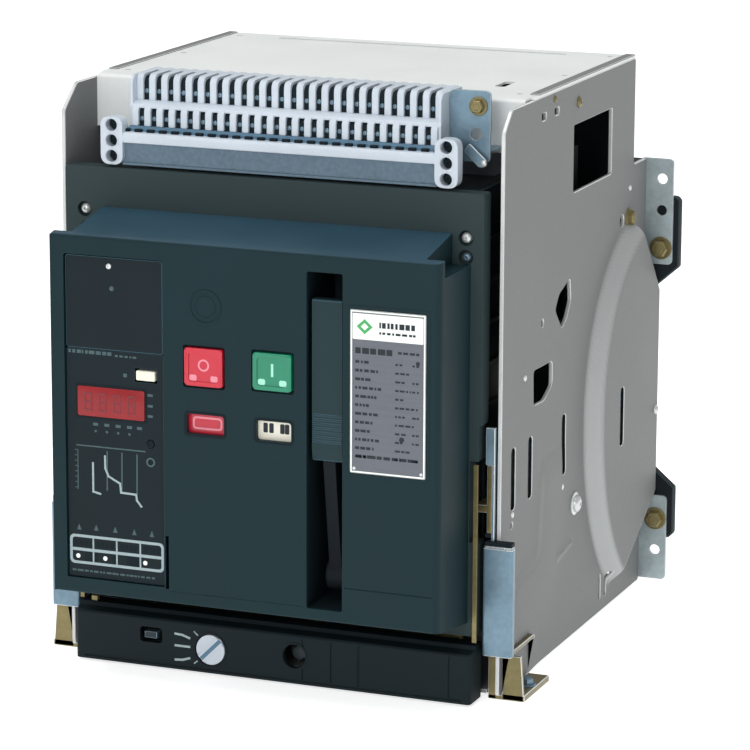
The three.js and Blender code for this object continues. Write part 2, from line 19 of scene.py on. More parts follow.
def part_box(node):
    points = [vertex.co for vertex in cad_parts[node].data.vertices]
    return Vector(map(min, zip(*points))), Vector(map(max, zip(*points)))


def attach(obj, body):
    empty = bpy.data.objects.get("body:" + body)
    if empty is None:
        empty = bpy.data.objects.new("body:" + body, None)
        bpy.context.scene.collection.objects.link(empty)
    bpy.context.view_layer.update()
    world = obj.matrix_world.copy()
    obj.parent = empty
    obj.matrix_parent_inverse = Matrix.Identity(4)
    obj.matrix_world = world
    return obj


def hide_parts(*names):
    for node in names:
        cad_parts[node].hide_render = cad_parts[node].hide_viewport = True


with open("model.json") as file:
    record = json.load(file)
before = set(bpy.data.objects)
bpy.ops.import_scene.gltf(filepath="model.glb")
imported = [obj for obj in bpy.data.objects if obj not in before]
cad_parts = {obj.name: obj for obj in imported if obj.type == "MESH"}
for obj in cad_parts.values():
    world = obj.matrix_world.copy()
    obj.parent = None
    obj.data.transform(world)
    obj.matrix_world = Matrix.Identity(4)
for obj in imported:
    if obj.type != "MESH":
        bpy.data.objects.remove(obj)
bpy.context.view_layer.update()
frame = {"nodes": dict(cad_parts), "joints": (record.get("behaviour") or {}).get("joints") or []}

MM = 0.001
PLATE_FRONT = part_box("right_side_plate")[0].y
SIDES = (("left", -1), ("right", 1))
FORWARD = (0, -1, 0)


def extent(node):
    """A CAD node's (low, high) pairs along x, y and z, in drawing millimetres."""
    low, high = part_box(node)
    return (
        (low.x / MM, high.x / MM),
        ((low.y - PLATE_FRONT) / MM, (high.y - PLATE_FRONT) / MM),
        (low.z / MM, high.z / MM),
    )


def at(x, y, z):
    """A drawing point in frame metres."""
    return Vector((x * MM, PLATE_FRONT + y * MM, z * MM))


def middle(pair):
    return (pair[0] + pair[1]) / 2


def grown(pair, by):
    return pair[0] - by, pair[1] + by


def around(centre, half):
    return centre - half, centre + half


# ------------------------------------------------------------------ camera and light
CAMERA_AZIMUTH = math.radians(22.0)
CAMERA_ELEVATION = math.radians(12.59)
CAMERA_DISTANCE = 2814
CAMERA_ROLL = math.radians(0.25)
ORBIT_CENTRE = (0, 120, 216)
AIM = (26.7, 120, 204.6)
LENS = 178.7


def make_camera():
    camera = bpy.data.objects.new("camera", bpy.data.cameras.new("camera"))
    bpy.context.scene.collection.objects.link(camera)
    reach = math.cos(CAMERA_ELEVATION)
    back = Vector((math.sin(CAMERA_AZIMUTH) * reach, -math.cos(CAMERA_AZIMUTH) * reach,
                   math.sin(CAMERA_ELEVATION)))
    camera.location = at(*ORBIT_CENTRE) + back * CAMERA_DISTANCE * MM
    look = (at(*AIM) - camera.location).to_track_quat("-Z", "Y").to_matrix()
    camera.rotation_euler = (look @ Matrix.Rotation(CAMERA_ROLL, 3, "Z")).to_euler()
    camera.data.lens = LENS
    camera.data.sensor_width = 36
    camera.data.clip_end = 60
    bpy.context.scene.camera = camera


def area_light(name, place, aim, size, watts):
    data = bpy.data.lights.new(name, "AREA")
    data.shape = "DISK"
    data.size = size
    data.energy = watts
    lamp = bpy.data.objects.new(name, data)
    bpy.context.scene.collection.objects.link(lamp)
    lamp.location = place
    lamp.rotation_euler = (Vector(aim) - Vector(place)).to_track_quat("-Z", "Y").to_euler()


def make_light():
    world = bpy.data.worlds.new("studio")
    world.use_nodes = True
    sky = world.node_tree.nodes["Background"]
    sky.inputs["Color"].default_value = (1, 1, 1, 1)
    sky.inputs["Strength"].default_value = 0.45
    bpy.context.scene.world = world
    area_light("overhead", (-0.3, -0.4, 2.6), (0, 0, 0.3), 1.8, 24)
    area_light("front", (0.2, -2.9, 1.3), (0, 0, 0.2), 1.3, 26)
    area_light("back_fill", (0.6, 2.4, 1.8), (0, 0, 0.2), 1.6, 12)
    bpy.context.scene.view_settings.view_transform = "Standard"


make_camera()
make_light()


# ------------------------------------------------------------------ materials
def srgb(red, green, blue):
    """Screen values from 0 to 255 as linear colour."""
    def linear(value):
        share = value / 255
        return share / 12.92 if share <= 0.04045 else ((share + 0.055) / 1.055) ** 2.4
    return linear(red), linear(green), linear(blue)


def finish(name, colour, roughness, metallic=0.0, grain=900.0, tone=0.05, bump=0.15,
           clouds=14.0, cloud_tone=0.06, stretch=(1, 1, 1), coat=0.0, emission=0.0, gloss=0.5,
           pressed=0.0):
    """A procedural finish: fine grain and large soft clouds in tone and gloss, and a fine bump. The pressed
    argument adds a painted highlight: a lighter tone on the steep flanks of the pressed shapes, which a mesh
    attribute marks."""
    material = bpy.data.materials.new(name)
    material.use_nodes = True
    nodes, links = material.node_tree.nodes, material.node_tree.links
    shader = nodes["Principled BSDF"]
    coordinates = nodes.new("ShaderNodeTexCoord")
    mapping = nodes.new("ShaderNodeMapping")
    mapping.inputs["Scale"].default_value = stretch
    links.new(coordinates.outputs["Object"], mapping.inputs["Vector"])

    def noise(scale, detail):
        node = nodes.new("ShaderNodeTexNoise")
        node.inputs["Scale"].default_value = scale
        node.inputs["Detail"].default_value = detail
        links.new(mapping.outputs["Vector"], node.inputs["Vector"])
        return node.outputs["Fac"]

    def spread(source, low, high):
        node = nodes.new("ShaderNodeMapRange")
        node.inputs["From Min"].default_value = 0.3
        node.inputs["From Max"].default_value = 0.7
        node.inputs["To Min"].default_value = low
        node.inputs["To Max"].default_value = high
        links.new(source, node.inputs["Value"])
        return node.outputs["Result"]

    fine = noise(grain, 3)
    cloud = noise(clouds, 4)
    both = nodes.new("ShaderNodeMath")
    both.operation = "ADD"
    links.new(spread(fine, 1 - tone, 1 + tone), both.inputs[0])
    links.new(spread(cloud, -cloud_tone, cloud_tone), both.inputs[1])
    tone_sum = both.outputs["Value"]
    # Painted highlight: the tone is lifted where the mesh attribute marks steep flanks.
    if pressed:
        marked = nodes.new("ShaderNodeAttribute")
        marked.attribute_name = "pressed"
        flank_highlight = nodes.new("ShaderNodeMath")
        flank_highlight.operation = "MULTIPLY_ADD"
        flank_highlight.inputs[1].default_value = pressed
        links.new(marked.outputs["Fac"], flank_highlight.inputs[0])
        links.new(tone_sum, flank_highlight.inputs[2])
        tone_sum = flank_highlight.outputs["Value"]
    tint = nodes.new("ShaderNodeVectorMath")
    tint.operation = "SCALE"
    tint.inputs[0].default_value = colour
    links.new(tone_sum, tint.inputs["Scale"])
    links.new(tint.outputs["Vector"], shader.inputs["Base Color"])
    links.new(spread(cloud, roughness * 0.86, min(1.0, roughness * 1.14)), shader.inputs["Roughness"])
    shader.inputs["Metallic"].default_value = metallic
    shader.inputs["Specular IOR Level"].default_value = gloss
    shader.inputs["Coat Weight"].default_value = coat
    shader.inputs["Coat Roughness"].default_value = 0.12
    if emission:
        shader.inputs["Emission Color"].default_value = (*colour, 1)
        shader.inputs["Emission Strength"].default_value = emission
    raised = nodes.new("ShaderNodeBump")
    raised.inputs["Strength"].default_value = bump
    raised.inputs["Distance"].default_value = 0.0003
    links.new(fine, raised.inputs["Height"])
    links.new(raised.outputs["Normal"], shader.inputs["Normal"])
    return material


LOOKS = {
    # Painted highlight: pressed=1.0 lightens the steep flanks of the pressed shapes on the side plates.
    "plate": finish("plate_steel", srgb(128, 130, 130), 0.55, 0.1, grain=420, clouds=9, tone=0.03,
                    gloss=0.12, pressed=1.0),
    # Light look for the sheet's rims and rounded edges: painted highlight.
    "plate_edge_highlight": finish("plate_edge_painted_highlight", srgb(206, 208, 208), 0.34, 0.3, grain=700, clouds=60),
    "white": finish("white_steel", srgb(232, 236, 235), 0.45, grain=520, tone=0.02, cloud_tone=0.02),
    "blue_zinc": finish("zinc_blue", srgb(112, 138, 154), 0.36, 0.5, grain=260, clouds=45,
                        tone=0.08, cloud_tone=0.12),
    "pale_zinc": finish("zinc_pale", srgb(172, 186, 190), 0.36, 0.5, grain=260, clouds=45,
                        tone=0.08, cloud_tone=0.12),
    # Dark zinc; on the guide rails, deep behind the plate slots, it is painted shade.
    "dark_zinc_and_shade": finish("zinc_dark_and_shade", srgb(52, 60, 64), 0.5, 0.3, grain=260, clouds=45, gloss=0.2),
    "yellow_zinc": finish("zinc_yellow", srgb(128, 118, 80), 0.36, 0.55, grain=240, clouds=55,
                          tone=0.1, cloud_tone=0.16),
    # Bright zinc of screws and rivets; as the edge look of other zinc parts it is a painted highlight on
    # their rounded edges.
    "bright_zinc_and_edge_highlight": finish("zinc_bright_and_edge_highlight", srgb(212, 216, 216), 0.3, 0.5, grain=300, clouds=60),
    "black": finish("black_moulding", srgb(24, 30, 35), 0.55, grain=1500, bump=0.25, gloss=0.1),
    "beam": finish("beam_moulding", srgb(22, 32, 36), 0.55, grain=1500, bump=0.25, gloss=0.12),
    "fascia": finish("fascia_moulding", srgb(50, 63, 65), 0.55, grain=1500, bump=0.25, gloss=0.12),
    "cover": finish("cover_moulding", srgb(24, 45, 50), 0.5, grain=1600, bump=0.22, gloss=0.12),
    # Lighter, bluer copy of the cover moulding for its top faces: painted reflection.
    "cover_top_sheen": finish("cover_moulding_top_sheen", srgb(40, 72, 88), 0.42, grain=1600, bump=0.2),
    # Lighter copy of the cover moulding for rounded edges: painted highlight.
    "cover_edge_highlight": finish("cover_moulding_edge_highlight", srgb(62, 92, 104), 0.4, grain=1600, bump=0.15,
                         gloss=0.2),
    "unit": finish("unit_moulding", srgb(24, 35, 40), 0.46, grain=1800, bump=0.15, gloss=0.12),
    "grip": finish("grip_moulding", srgb(34, 54, 58), 0.5, grain=1400, bump=0.3, gloss=0.15),
    # Dark moulding: the real colour of black parts and print, and painted shade where it lines recesses,
    # wells, slots and holes.
    "recess": finish("dark_moulding_and_recess_shade", srgb(22, 33, 38), 0.6, grain=1500, bump=0.2, gloss=0.1),
    "grey": finish("grey_moulding", srgb(196, 206, 216), 0.42, grain=1200, tone=0.03),
    # Darker copy of the grey moulding for the face sunk under the ledge: painted shade.
    "shaded_grey": finish("grey_moulding_painted_shade", srgb(96, 116, 131), 0.5, grain=300, tone=0.12, gloss=0.3),
    "blue": finish("blue_moulding", srgb(92, 126, 150), 0.45, grain=1000, tone=0.05, gloss=0.3),
    "copper": finish("tinned_copper", srgb(206, 190, 166), 0.3, 0.9, grain=200, clouds=40,
                     tone=0.06, stretch=(1, 8, 8)),
    "bare_copper": finish("bare_copper", srgb(196, 122, 84), 0.3, 0.95, grain=220, clouds=36),
    "red": finish("red_moulding", srgb(196, 28, 52), 0.32, grain=900, tone=0.03, coat=0.2),
    "red_pale": finish("red_moulding_pale", srgb(232, 140, 156), 0.35, grain=900, tone=0.03),
    "green": finish("green_moulding", srgb(6, 128, 94), 0.32, grain=900, tone=0.03, coat=0.2),
    "green_pale": finish("green_moulding_pale", srgb(160, 226, 204), 0.35, grain=900, tone=0.03),
    "display": finish("display_red", srgb(142, 34, 38), 0.25, grain=80, tone=0.05, bump=0.02, gloss=0.3),
    "display_edge": finish("display_border", srgb(112, 26, 38), 0.3, grain=500),
    "label": finish("nameplate_metal", srgb(102, 106, 114), 0.45, 0.2, grain=500, clouds=30,
                    stretch=(1, 1, 14), gloss=0.3),
    "print_white": finish("print_white", srgb(240, 246, 240), 0.55, grain=700, bump=0.05),
    "print_pale": finish("print_pale", srgb(150, 168, 172), 0.6, grain=900, tone=0.12, bump=0.05),
    "print_dim": finish("print_dim", srgb(72, 92, 96), 0.6, grain=900, tone=0.12, bump=0.05, gloss=0.2),
    "print_dark": finish("print_dark", srgb(44, 50, 56), 0.6, grain=900, bump=0.05, gloss=0.2),
    "print_green": finish("print_green", srgb(70, 168, 96), 0.6, grain=900, bump=0.05),
    "button_white": finish("white_moulding", srgb(232, 230, 214), 0.35, grain=900, tone=0.03),
}


# ------------------------------------------------------------------ drawing tools
SPOT_ORDER = {"x": (1, 2, 0), "y": (0, 2, 1), "z": (0, 1, 2)}
DRAWING_TO_FRAME = Matrix.Translation((0, PLATE_FRONT, 0)) @ Matrix.Scale(MM, 4)


def spot(axis, u, v, w):
    """A point from an outline's (u, v) and the distance w along the swept axis."""
    point = [0.0, 0.0, 0.0]
    for place, value in zip(SPOT_ORDER[axis], (u, v, w)):
        point[place] = value
    return point


def rectangle(u, v):
    return [(u[0], v[0]), (u[1], v[0]), (u[1], v[1]), (u[0], v[1])]


def circle(u, v, radius, steps=24):
    turns = [2 * math.pi * i / steps for i in range(steps)]
    return [(u + radius * math.cos(a), v + radius * math.sin(a)) for a in turns]


def rounded(points, radius, steps=5):
    """The outline with its corners rounded by a quadratic curve that starts radius before them."""
    made = []
    count = len(points)
    for i, corner in enumerate(points):
        here = Vector(corner)
        before = Vector(points[i - 1]) - here
        after = Vector(points[(i + 1) % count]) - here
        reach = min(radius, before.length / 2.01, after.length / 2.01)
        start = here + before.normalized() * reach
        end = here + after.normalized() * reach
        for k in range(steps + 1):
            t = k / steps
            made.append(tuple(start * (1 - t) ** 2 + here * 2 * t * (1 - t) + end * t ** 2))
    return made


def pane(u, v, radius, margin=0):
    """A rectangle grown by a margin, with its corners rounded."""
    return rounded(rectangle(grown(u, margin), grown(v, margin)), radius)


class Shape:
    """A mesh in the making, in drawing millimetres. Each method adds closed solids to it."""

    def __init__(self):
        self.bm = bmesh.new()
        self.strokes = 0

    def block(self, x, y, z):
        return self.prism("z", rectangle(x, y), z)

    def prism(self, axis, outline, span, holes=()):
        """A flat outline, with holes, swept along an axis."""
        loops = [outline, *holes]
        ends = [[[self.bm.verts.new(spot(axis, u, v, w)) for u, v in loop] for loop in loops]
                for w in span]
        for low, high in zip(*ends):
            for i, corner in enumerate(low):
                self.bm.faces.new((low[i - 1], corner, high[i], high[i - 1]))
        flat = [[Vector((u, v, 0)) for u, v in loop] for loop in loops]
        triangles = tessellate_polygon(flat) if holes else ()
        for end in ends:
            if not holes:
                self.bm.faces.new(end[0])
            corners = [vertex for loop in end for vertex in loop]
            for triangle in triangles:
                self.bm.faces.new([corners[i] for i in triangle])
        return self

    def lathe(self, centre, direction, profile, steps=24):
        """A profile of (radius, height) turned about the direction through the centre."""
        turn = Vector((0, 0, 1)).rotation_difference(Vector(direction)).to_matrix()
        rings = []
        for radius, height in profile:
            angles = [2 * math.pi * i / steps for i in range(steps if radius > 0 else 1)]
            rings.append([self.bm.verts.new(Vector(centre) + turn @ Vector(
                (radius * math.cos(a), radius * math.sin(a), height))) for a in angles])
        for low, high in zip(rings, rings[1:]):
            for i in range(steps):
                corners = [low[i % len(low)], low[(i + 1) % len(low)],
                           high[(i + 1) % len(high)], high[i % len(high)]]
                corners = list(dict.fromkeys(corners))
                if len(corners) > 2:
                    self.bm.faces.new(corners)
        return self

    def rod(self, axis, centre, span, radius, steps=24):
        """A plain pin along an axis, about the two other coordinates."""
        return self.prism(axis, circle(*centre, radius, steps), span)

    def stroke(self, points, width, y):
        """A line of the given width drawn in x and z, between the two depths of y. Each stretch
        stands a hair further out than the last, so that no two faces lie on each other."""
        for first, last in zip(points, points[1:]):
            a, b = Vector(first), Vector(last)
            along = (b - a).normalized() * (width / 2)
            side = Vector((-along.y, along.x))
            corners = [a - along - side, b + along - side, b + along + side, a - along + side]
            self.strokes = (self.strokes + 1) % 7
            self.prism("y", [tuple(c) for c in corners], (y[0] - 0.012 * self.strokes, y[1]))
        return self

    def bolt(self, centre, direction, across, height=None):
        """A hexagon head on a washer."""
        radius = across / math.sqrt(3)
        tall = height or across * 0.55
        washer = radius * 1.32
        self.lathe(centre, direction, [(0, 0), (washer, 0), (washer, 0.9), (washer - 0.4, 1.3), (0, 1.3)])
        return self.lathe(centre, direction, [
            (0, 1.2), (radius, 1.2), (radius, tall), (radius * 0.84, tall + 0.9), (radius * 0.5, tall + 0.9),
            (radius * 0.46, tall + 1.3), (0, tall + 1.3)], steps=6)

    def screw(self, centre, direction, radius, height):
        """A domed head with a round driver recess."""
        dome = [(radius * math.cos(a), height * (0.3 + 0.7 * math.sin(a)))
                for a in map(math.radians, (0, 18, 36, 54, 70))]
        recess = [(radius * 0.26, height * 0.95), (radius * 0.2, height * 0.4), (0, height * 0.35)]
        return self.lathe(centre, direction, [(0, 0), (radius, 0), *dome, *recess])

    def round_edges(self, chosen, width, segments=4):
        """Rounds the edges whose ends pass the test."""
        edges = [e for e in self.bm.edges if chosen(e.verts[0].co, e.verts[1].co)]
        bmesh.ops.bevel(self.bm, geom=edges, offset=width, segments=segments, profile=0.5, affect="EDGES")
        return self

    def mirror(self, sign):
        """The same solids on the other side of the middle plane, when the sign is -1."""
        if sign < 0:
            bmesh.ops.scale(self.bm, verts=self.bm.verts, vec=(-1, 1, 1))
        return self

    def mesh(self):
        bmesh.ops.recalc_face_normals(self.bm, faces=self.bm.faces)
        made = bpy.data.meshes.new("drawing")
        self.bm.to_mesh(made)
        self.bm.free()
        return made

    def carved(self, tools):
        """This shape with the tools' shape cut out of it."""
        holders = [bpy.data.objects.new("holder", part.mesh()) for part in (self, tools)]
        for holder in holders:
            bpy.context.scene.collection.objects.link(holder)
        cut = holders[0].modifiers.new("cut", "BOOLEAN")
        cut.operation = "DIFFERENCE"
        cut.solver = "EXACT"
        cut.use_self = True
        cut.object = holders[1]
        bpy.context.view_layer.update()
        result = bpy.data.meshes.new_from_object(
            holders[0].evaluated_get(bpy.context.evaluated_depsgraph_get()))
        for holder in holders:
            bpy.data.objects.remove(holder)
        made = Shape()
        made.bm.from_mesh(result)
        bmesh.ops.dissolve_limit(made.bm, angle_limit=math.radians(0.4), verts=made.bm.verts,
                                 edges=made.bm.edges)
        return made

    def piece(self, name, look, body, slot=None, replaces=(), bevel=0.0, segments=2, edge=None):
        """Turns the drawing into a finished piece that rides on a body."""
        mesh = self.mesh()
        mesh.transform(DRAWING_TO_FRAME)
        mesh.name = name
        made = bpy.data.objects.new(name, mesh)
        bpy.context.scene.collection.objects.link(made)
        mesh.materials.append(LOOKS[look])
        mesh.shade_smooth()
        if bevel:
            soften(made, bevel, segments, edge)
        else:
            mesh.set_sharp_from_angle(angle=math.radians(35))
        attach(made, body)
        if replaces:
            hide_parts(*replaces)
        return made


def soften(made, width, segments=2, edge=None):
    """Rounds a piece's sharp edges, in a look of their own if one is named. A lighter edge look is a painted
    highlight along the edges; bare copper on the tinned terminals is wear.
    """
    bevel = made.modifiers.new("edges", "BEVEL")
    bevel.width = width * MM
    bevel.segments = segments
    bevel.limit_method = "ANGLE"
    bevel.angle_limit = math.radians(28)
    bevel.harden_normals = True
    bevel.miter_outer = "MITER_ARC"
    # Edge look on the rounded edges: painted highlight where it is lighter than the piece.
    if edge:
        made.data.materials.append(LOOKS[edge])
        bevel.material = len(made.data.materials) - 1


def dress(node, look, width=0.4, edge=None):
    """Gives a CAD node its look, and rounded edges by modifiers, without touching its mesh."""
    made = frame["nodes"][node]
    made.data.materials.clear()
    made.data.materials.append(LOOKS[look])
    made.data.shade_smooth()
    weld = made.modifiers.new("weld", "WELD")
    weld.merge_threshold = 0.00002
    flat = made.modifiers.new("flat", "DECIMATE")
    flat.decimate_type = "DISSOLVE"
    flat.angle_limit = math.radians(0.6)
    soften(made, width, 2, edge)


def dashes(shape, x, z, height, depth, seed, longest=7.0):
    """A row of short bars of uneven length, standing for a line of small print."""
    draw = random.Random(seed)
    here = x[0]
    while here < x[1] - 1:
        length = min(draw.uniform(1.2, longest), x[1] - here)
        shape.block((here, here + length), depth, around(z, height / 2))
        here += length + draw.uniform(0.7, 1.5)
    return shape


# ------------------------------------------------------------------ cradle: side plates
PLATE_X, PLATE_Y, PLATE_Z = extent("right_side_plate")
SHEET = 3.0
SHEET_INNER = extent("top_plate")[0][1] - SHEET
BULGE_HEIGHT = 13.0
BULGE_FLANK = 13.0
MESH_STEP = 2.3
FRONT_RIDGE = [(92, 160), (87, 120), (84, 95), (78, 86), (66, 83), (40, 81), (30, 77), (26, 68), (25, 4)]
PLATE_OUTLINE = [(0, 4), (333, 4), (333, 347), (300, 347), (300, 430), (16, 430), (0, 415)]
LEFT_OUTLINE = [(0, 4), *PLATE_OUTLINE[1:6], (-5.5, 412), (-5.5, 207), (0, 205)]
SLOT_PLACES = (26, 63, 139, 241)
SLOT_HALF = 4.5
SLOT_Z = (137, 183)
CUT_OUTS = [
    pane((152, 243), (348.5, 399), 2),
    rounded([(148, 285), (123, 277), (115, 267), (131, 250.5), (142, 256), (151, 268)], 3),
    rounded([(68, 231), (69, 205), (93, 204), (110.5, 212), (110, 230)], 4),
    *[pane(around(y, SLOT_HALF), SLOT_Z, 4) for y in SLOT_PLACES],
    *[pane(around(y, 5), (412.5, 418), 2) for y in (83.5, 112)],
    *[pane(around(y, 2.6), (14, 34), 2) for y in (232, 246)],
    circle(86, 263, 3, 12),
    circle(24, 126, 2.6, 12),
    circle(272, 307, 5, 14),
]


def bulge_outline():
    """The raised field: an upper and a lower arc, and slanted ends at the rear edge."""
    arcs = (((363, 160), 178, 232, 180), ((325, 170), 140, 180, 102))
    points = []
    for centre, radius, start, end in arcs:
        for i in range(13):
            angle = math.radians(start + (end - start) * i / 12)
            points.append((centre[0] + radius * math.cos(angle), centre[1] + radius * math.sin(angle)))
    return [(345, 72), *points, (345, 248)]


def distance_to(points, line):
    """Each point's distance to an open line of points."""
    nearest = np.full(len(points), 1e9)
    for a, b in zip(np.array(line[:-1], float), np.array(line[1:], float)):
        along = b - a
        share = np.clip((points - a) @ along / (along @ along), 0, 1)
        nearest = np.minimum(nearest, np.linalg.norm(points - a - share[:, None] * along, axis=1))
    return nearest


def inside(points, outline):
    """Whether each point lies within a closed outline."""
    found = np.zeros(len(points), bool)
    corners = np.array(outline, float)
    for (u0, v0), (u1, v1) in zip(corners, np.roll(corners, -1, axis=0)):
        if v0 != v1:
            crosses = (v0 > points[:, 1]) != (v1 > points[:, 1])
            found ^= crosses & (points[:, 0] < (u1 - u0) * (points[:, 1] - v0) / (v1 - v0) + u0)
    return found


def smooth_step(values):
    share = np.clip(values, 0, 1)
    return share * share * (3 - 2 * share)


def relief(points):
    """How far the pressed sheet stands out at each (y, z)."""
    outline = bulge_outline()
    raised = inside(points, outline) * BULGE_HEIGHT * smooth_step(distance_to(points, outline) / BULGE_FLANK)
    ridge = distance_to(points, FRONT_RIDGE)
    behind = inside(points, [*FRONT_RIDGE, (400, 4), (400, 160)])
    signed = np.where(behind, ridge, -ridge)
    fade = smooth_step((168 - points[:, 1]) / 30) * smooth_step((70 - signed) / 60)
    step = 2.4 * smooth_step((signed + 3.5) / 7) * fade
    rib = 1.6 * smooth_step(1 - distance_to(points, [(126, 76.5), (159, 80)]) / 4.5)
    return raised + (step + rib) * (raised < 0.01)


def steepness(points):
    """From 0 on the flat sheet to 1 on the steep flank of a pressed shape."""
    reach = 3.0
    slopes = [relief(points + move) - relief(points - move) for move in ((reach, 0), (0, reach))]
    return smooth_step(np.hypot(*slopes) / (2 * reach) / 1.1)


def divided(outline, step):
    """The closed outline with points added so that none are further apart than the step."""
    made = []
    for i, last in enumerate(outline):
        first = Vector(outline[i - 1])
        parts = max(1, math.ceil((Vector(last) - first).length / step))
        made += [tuple(first.lerp(Vector(last), k / parts)) for k in range(parts)]
    return made


def side_plate(name, sign):
    """Pressed sheet: triangles between the outline and its cut-outs, raised by the relief."""
    outline = PLATE_OUTLINE if sign > 0 else LEFT_OUTLINE
    loops = [divided(loop, MESH_STEP) for loop in (rounded(outline, 3), *CUT_OUTS)]
    columns = np.arange(PLATE_Y[0] - 6, PLATE_Y[1], MESH_STEP)
    rows = np.arange(PLATE_Z[0], PLATE_Z[1], MESH_STEP)
    grid = np.array([(y, z) for y in columns for z in rows])
    keep = inside(grid, loops[0])
    for loop in loops:
        keep &= distance_to(grid, [*loop, loop[0]]) > MESH_STEP * 0.45
    for loop in loops[1:]:
        keep &= ~inside(grid, loop)
    points = [Vector(p) for loop in loops for p in loop] + [Vector(p) for p in grid[keep]]
    edges, start = [], 0
    for loop in loops:
        edges += [(start + i, start + (i + 1) % len(loop)) for i in range(len(loop))]
        start += len(loop)
    flat, _, triangles, *_ = delaunay_2d_cdt(points, edges, [], 0, 1e-5)
    flat = np.array([tuple(p) for p in flat])
    triangles = np.array(triangles)
    centres = flat[triangles].mean(axis=1)
    wanted = inside(centres, loops[0])
    for loop in loops[1:]:
        wanted &= ~inside(centres, loop)
    triangles = triangles[wanted]
    height = relief(flat)
    shape = Shape()
    # Steepness of each corner, stored for the plate finish's painted highlight on the steep flanks.
    highlight_layer = shape.bm.verts.layers.float.new("pressed")
    front, back = [[shape.bm.verts.new((sign * (SHEET_INNER + level + h), y, z))
                    for (y, z), h in zip(flat, height)] for level in (SHEET, 0)]
    for corner, amount in zip(front, steepness(flat)):
        corner[highlight_layer] = amount
    for a, b, c in triangles.tolist():
        shape.bm.faces.new((front[a], front[b], front[c]))
        shape.bm.faces.new((back[c], back[b], back[a]))
    # Rim faces of the sheet: the outline and the large cut-outs take the light edge look as a painted
    # highlight; the narrow slots take the dark recess look as painted shade inside them.
    rim = [e for e in shape.bm.edges if len(e.link_faces) == 1]
    behind = dict(zip(front, back))
    for edge in rim:
        if edge.verts[0] in behind:
            a, b = edge.verts
            in_slot = SLOT_Z[0] - 1 < a.co.z < SLOT_Z[1] + 1 and any(
                abs(a.co.y - y) < SLOT_HALF + 0.5 for y in SLOT_PLACES)
            shape.bm.faces.new((a, b, behind[b], behind[a])).material_index = 2 if in_slot else 1
    loose = [v for v in shape.bm.verts if not v.link_faces]
    bmesh.ops.delete(shape.bm, geom=loose, context="VERTS")
    made = shape.piece(name, "plate", "cradle", "plate_steel", [name.replace("_sheet", "")])
    for look in ("plate_edge_highlight", "recess"):
        made.data.materials.append(LOOKS[look])
    # Rounded edges in the light edge look: painted highlight.
    bevel = made.modifiers.new("edges", "BEVEL")
    bevel.width = 0.5 * MM
    bevel.limit_method = "ANGLE"
    bevel.angle_limit = math.radians(55)
    bevel.material = 1


def plate_fixings(name, sign):
    """Rivets, screws and bolts on a side plate's outer face."""
    face = PLATE_X[1] - BULGE_HEIGHT
    out = (1, 0, 0)
    zinc = Shape()
    zinc.screw((face, 161.5, 415), out, 4.2, 2.4)
    zinc.bolt((face, 288, 307), out, 10, 4.5)
    zinc.screw((face, 107, 425), out, 2.6, 1.6)
    zinc.mirror(sign).piece(f"{name}_yellow_fixings", "yellow_zinc", "cradle", "zinc_yellow", bevel=0.15)
    bright = Shape()
    bright.lathe((face, 166, 108), out, [(0, 0), (9, 0), (9, 1), (8, 1.4), (0, 1.4)])
    bright.screw((face + 1.2, 166, 108), out, 6.5, 4.2)
    for y, z in ((136, 128), (24, 134), (48, 230), (48, 60), (290, 330), (290, 30)):
        bright.lathe((face, y, z), out, [(0, 0), (2.4, 0), (2.2, 0.9), (1.2, 1.3), (0, 1.3)], 16)
    bright.screw((face + BULGE_HEIGHT, 326, 147), out, 3.6, 3)
    bright.mirror(sign).piece(f"{name}_rivets", "bright_zinc_and_edge_highlight", "cradle", "zinc_blue", bevel=0.15)


for side, sign in SIDES:
    side_plate(f"{side}_side_plate_sheet", sign)
    plate_fixings(f"{side}_plate", sign)


# ------------------------------------------------------------------ cradle: rear angles and base
ANGLE_X, ANGLE_Y, _ = extent("right_rear_angle")
EAR_FACE = (ANGLE_Y[1] - 2.5, ANGLE_Y[1])
EAR_HOLE_X = ANGLE_X[1] - 9


def rear_angle(side, sign):
    shape = Shape()
    shape.block((ANGLE_X[0], ANGLE_X[0] + 2.2), (ANGLE_Y[0], ANGLE_Y[1]), (8, 342))
    ears = (((263, 347), (331, 306)), ((6, 75), (30,)))
    for z, holes in ears:
        outline = pane((ANGLE_X[0], ANGLE_X[1]), z, 4)
        openings = [circle(EAR_HOLE_X, hole, 4.2, 20) for hole in holes]
        shape.prism("y", outline, EAR_FACE, openings)
    # Edge look: painted highlight on the rounded edges.
    shape.mirror(sign).piece(f"{side}_rear_angle_steel", "pale_zinc", "cradle", "zinc_blue",
                             [f"{side}_rear_angle"], bevel=0.5, edge="bright_zinc_and_edge_highlight")
    bolts = Shape()
    for z in (276, 56):
        bolts.bolt((EAR_HOLE_X, EAR_FACE[0], z), FORWARD, 12, 6)
    bolts.mirror(sign).piece(f"{side}_rear_angle_bolts", "yellow_zinc", "cradle", "zinc_yellow", bevel=0.2)


for side, sign in SIDES:
    rear_angle(side, sign)

POLES = [middle(extent(f"upper_terminal_{pole}")[0]) for pole in (1, 2, 3)]
TERMINAL_LEVELS = [middle(extent(f"{level}_terminal_2")[2]) for level in ("upper", "lower")]
BASE_BACK = extent("rear_base")[1][1]
# The fascia look on the rounded edges of the black moulding is a painted highlight.
dress("rear_base", "black", 1.2, "fascia")


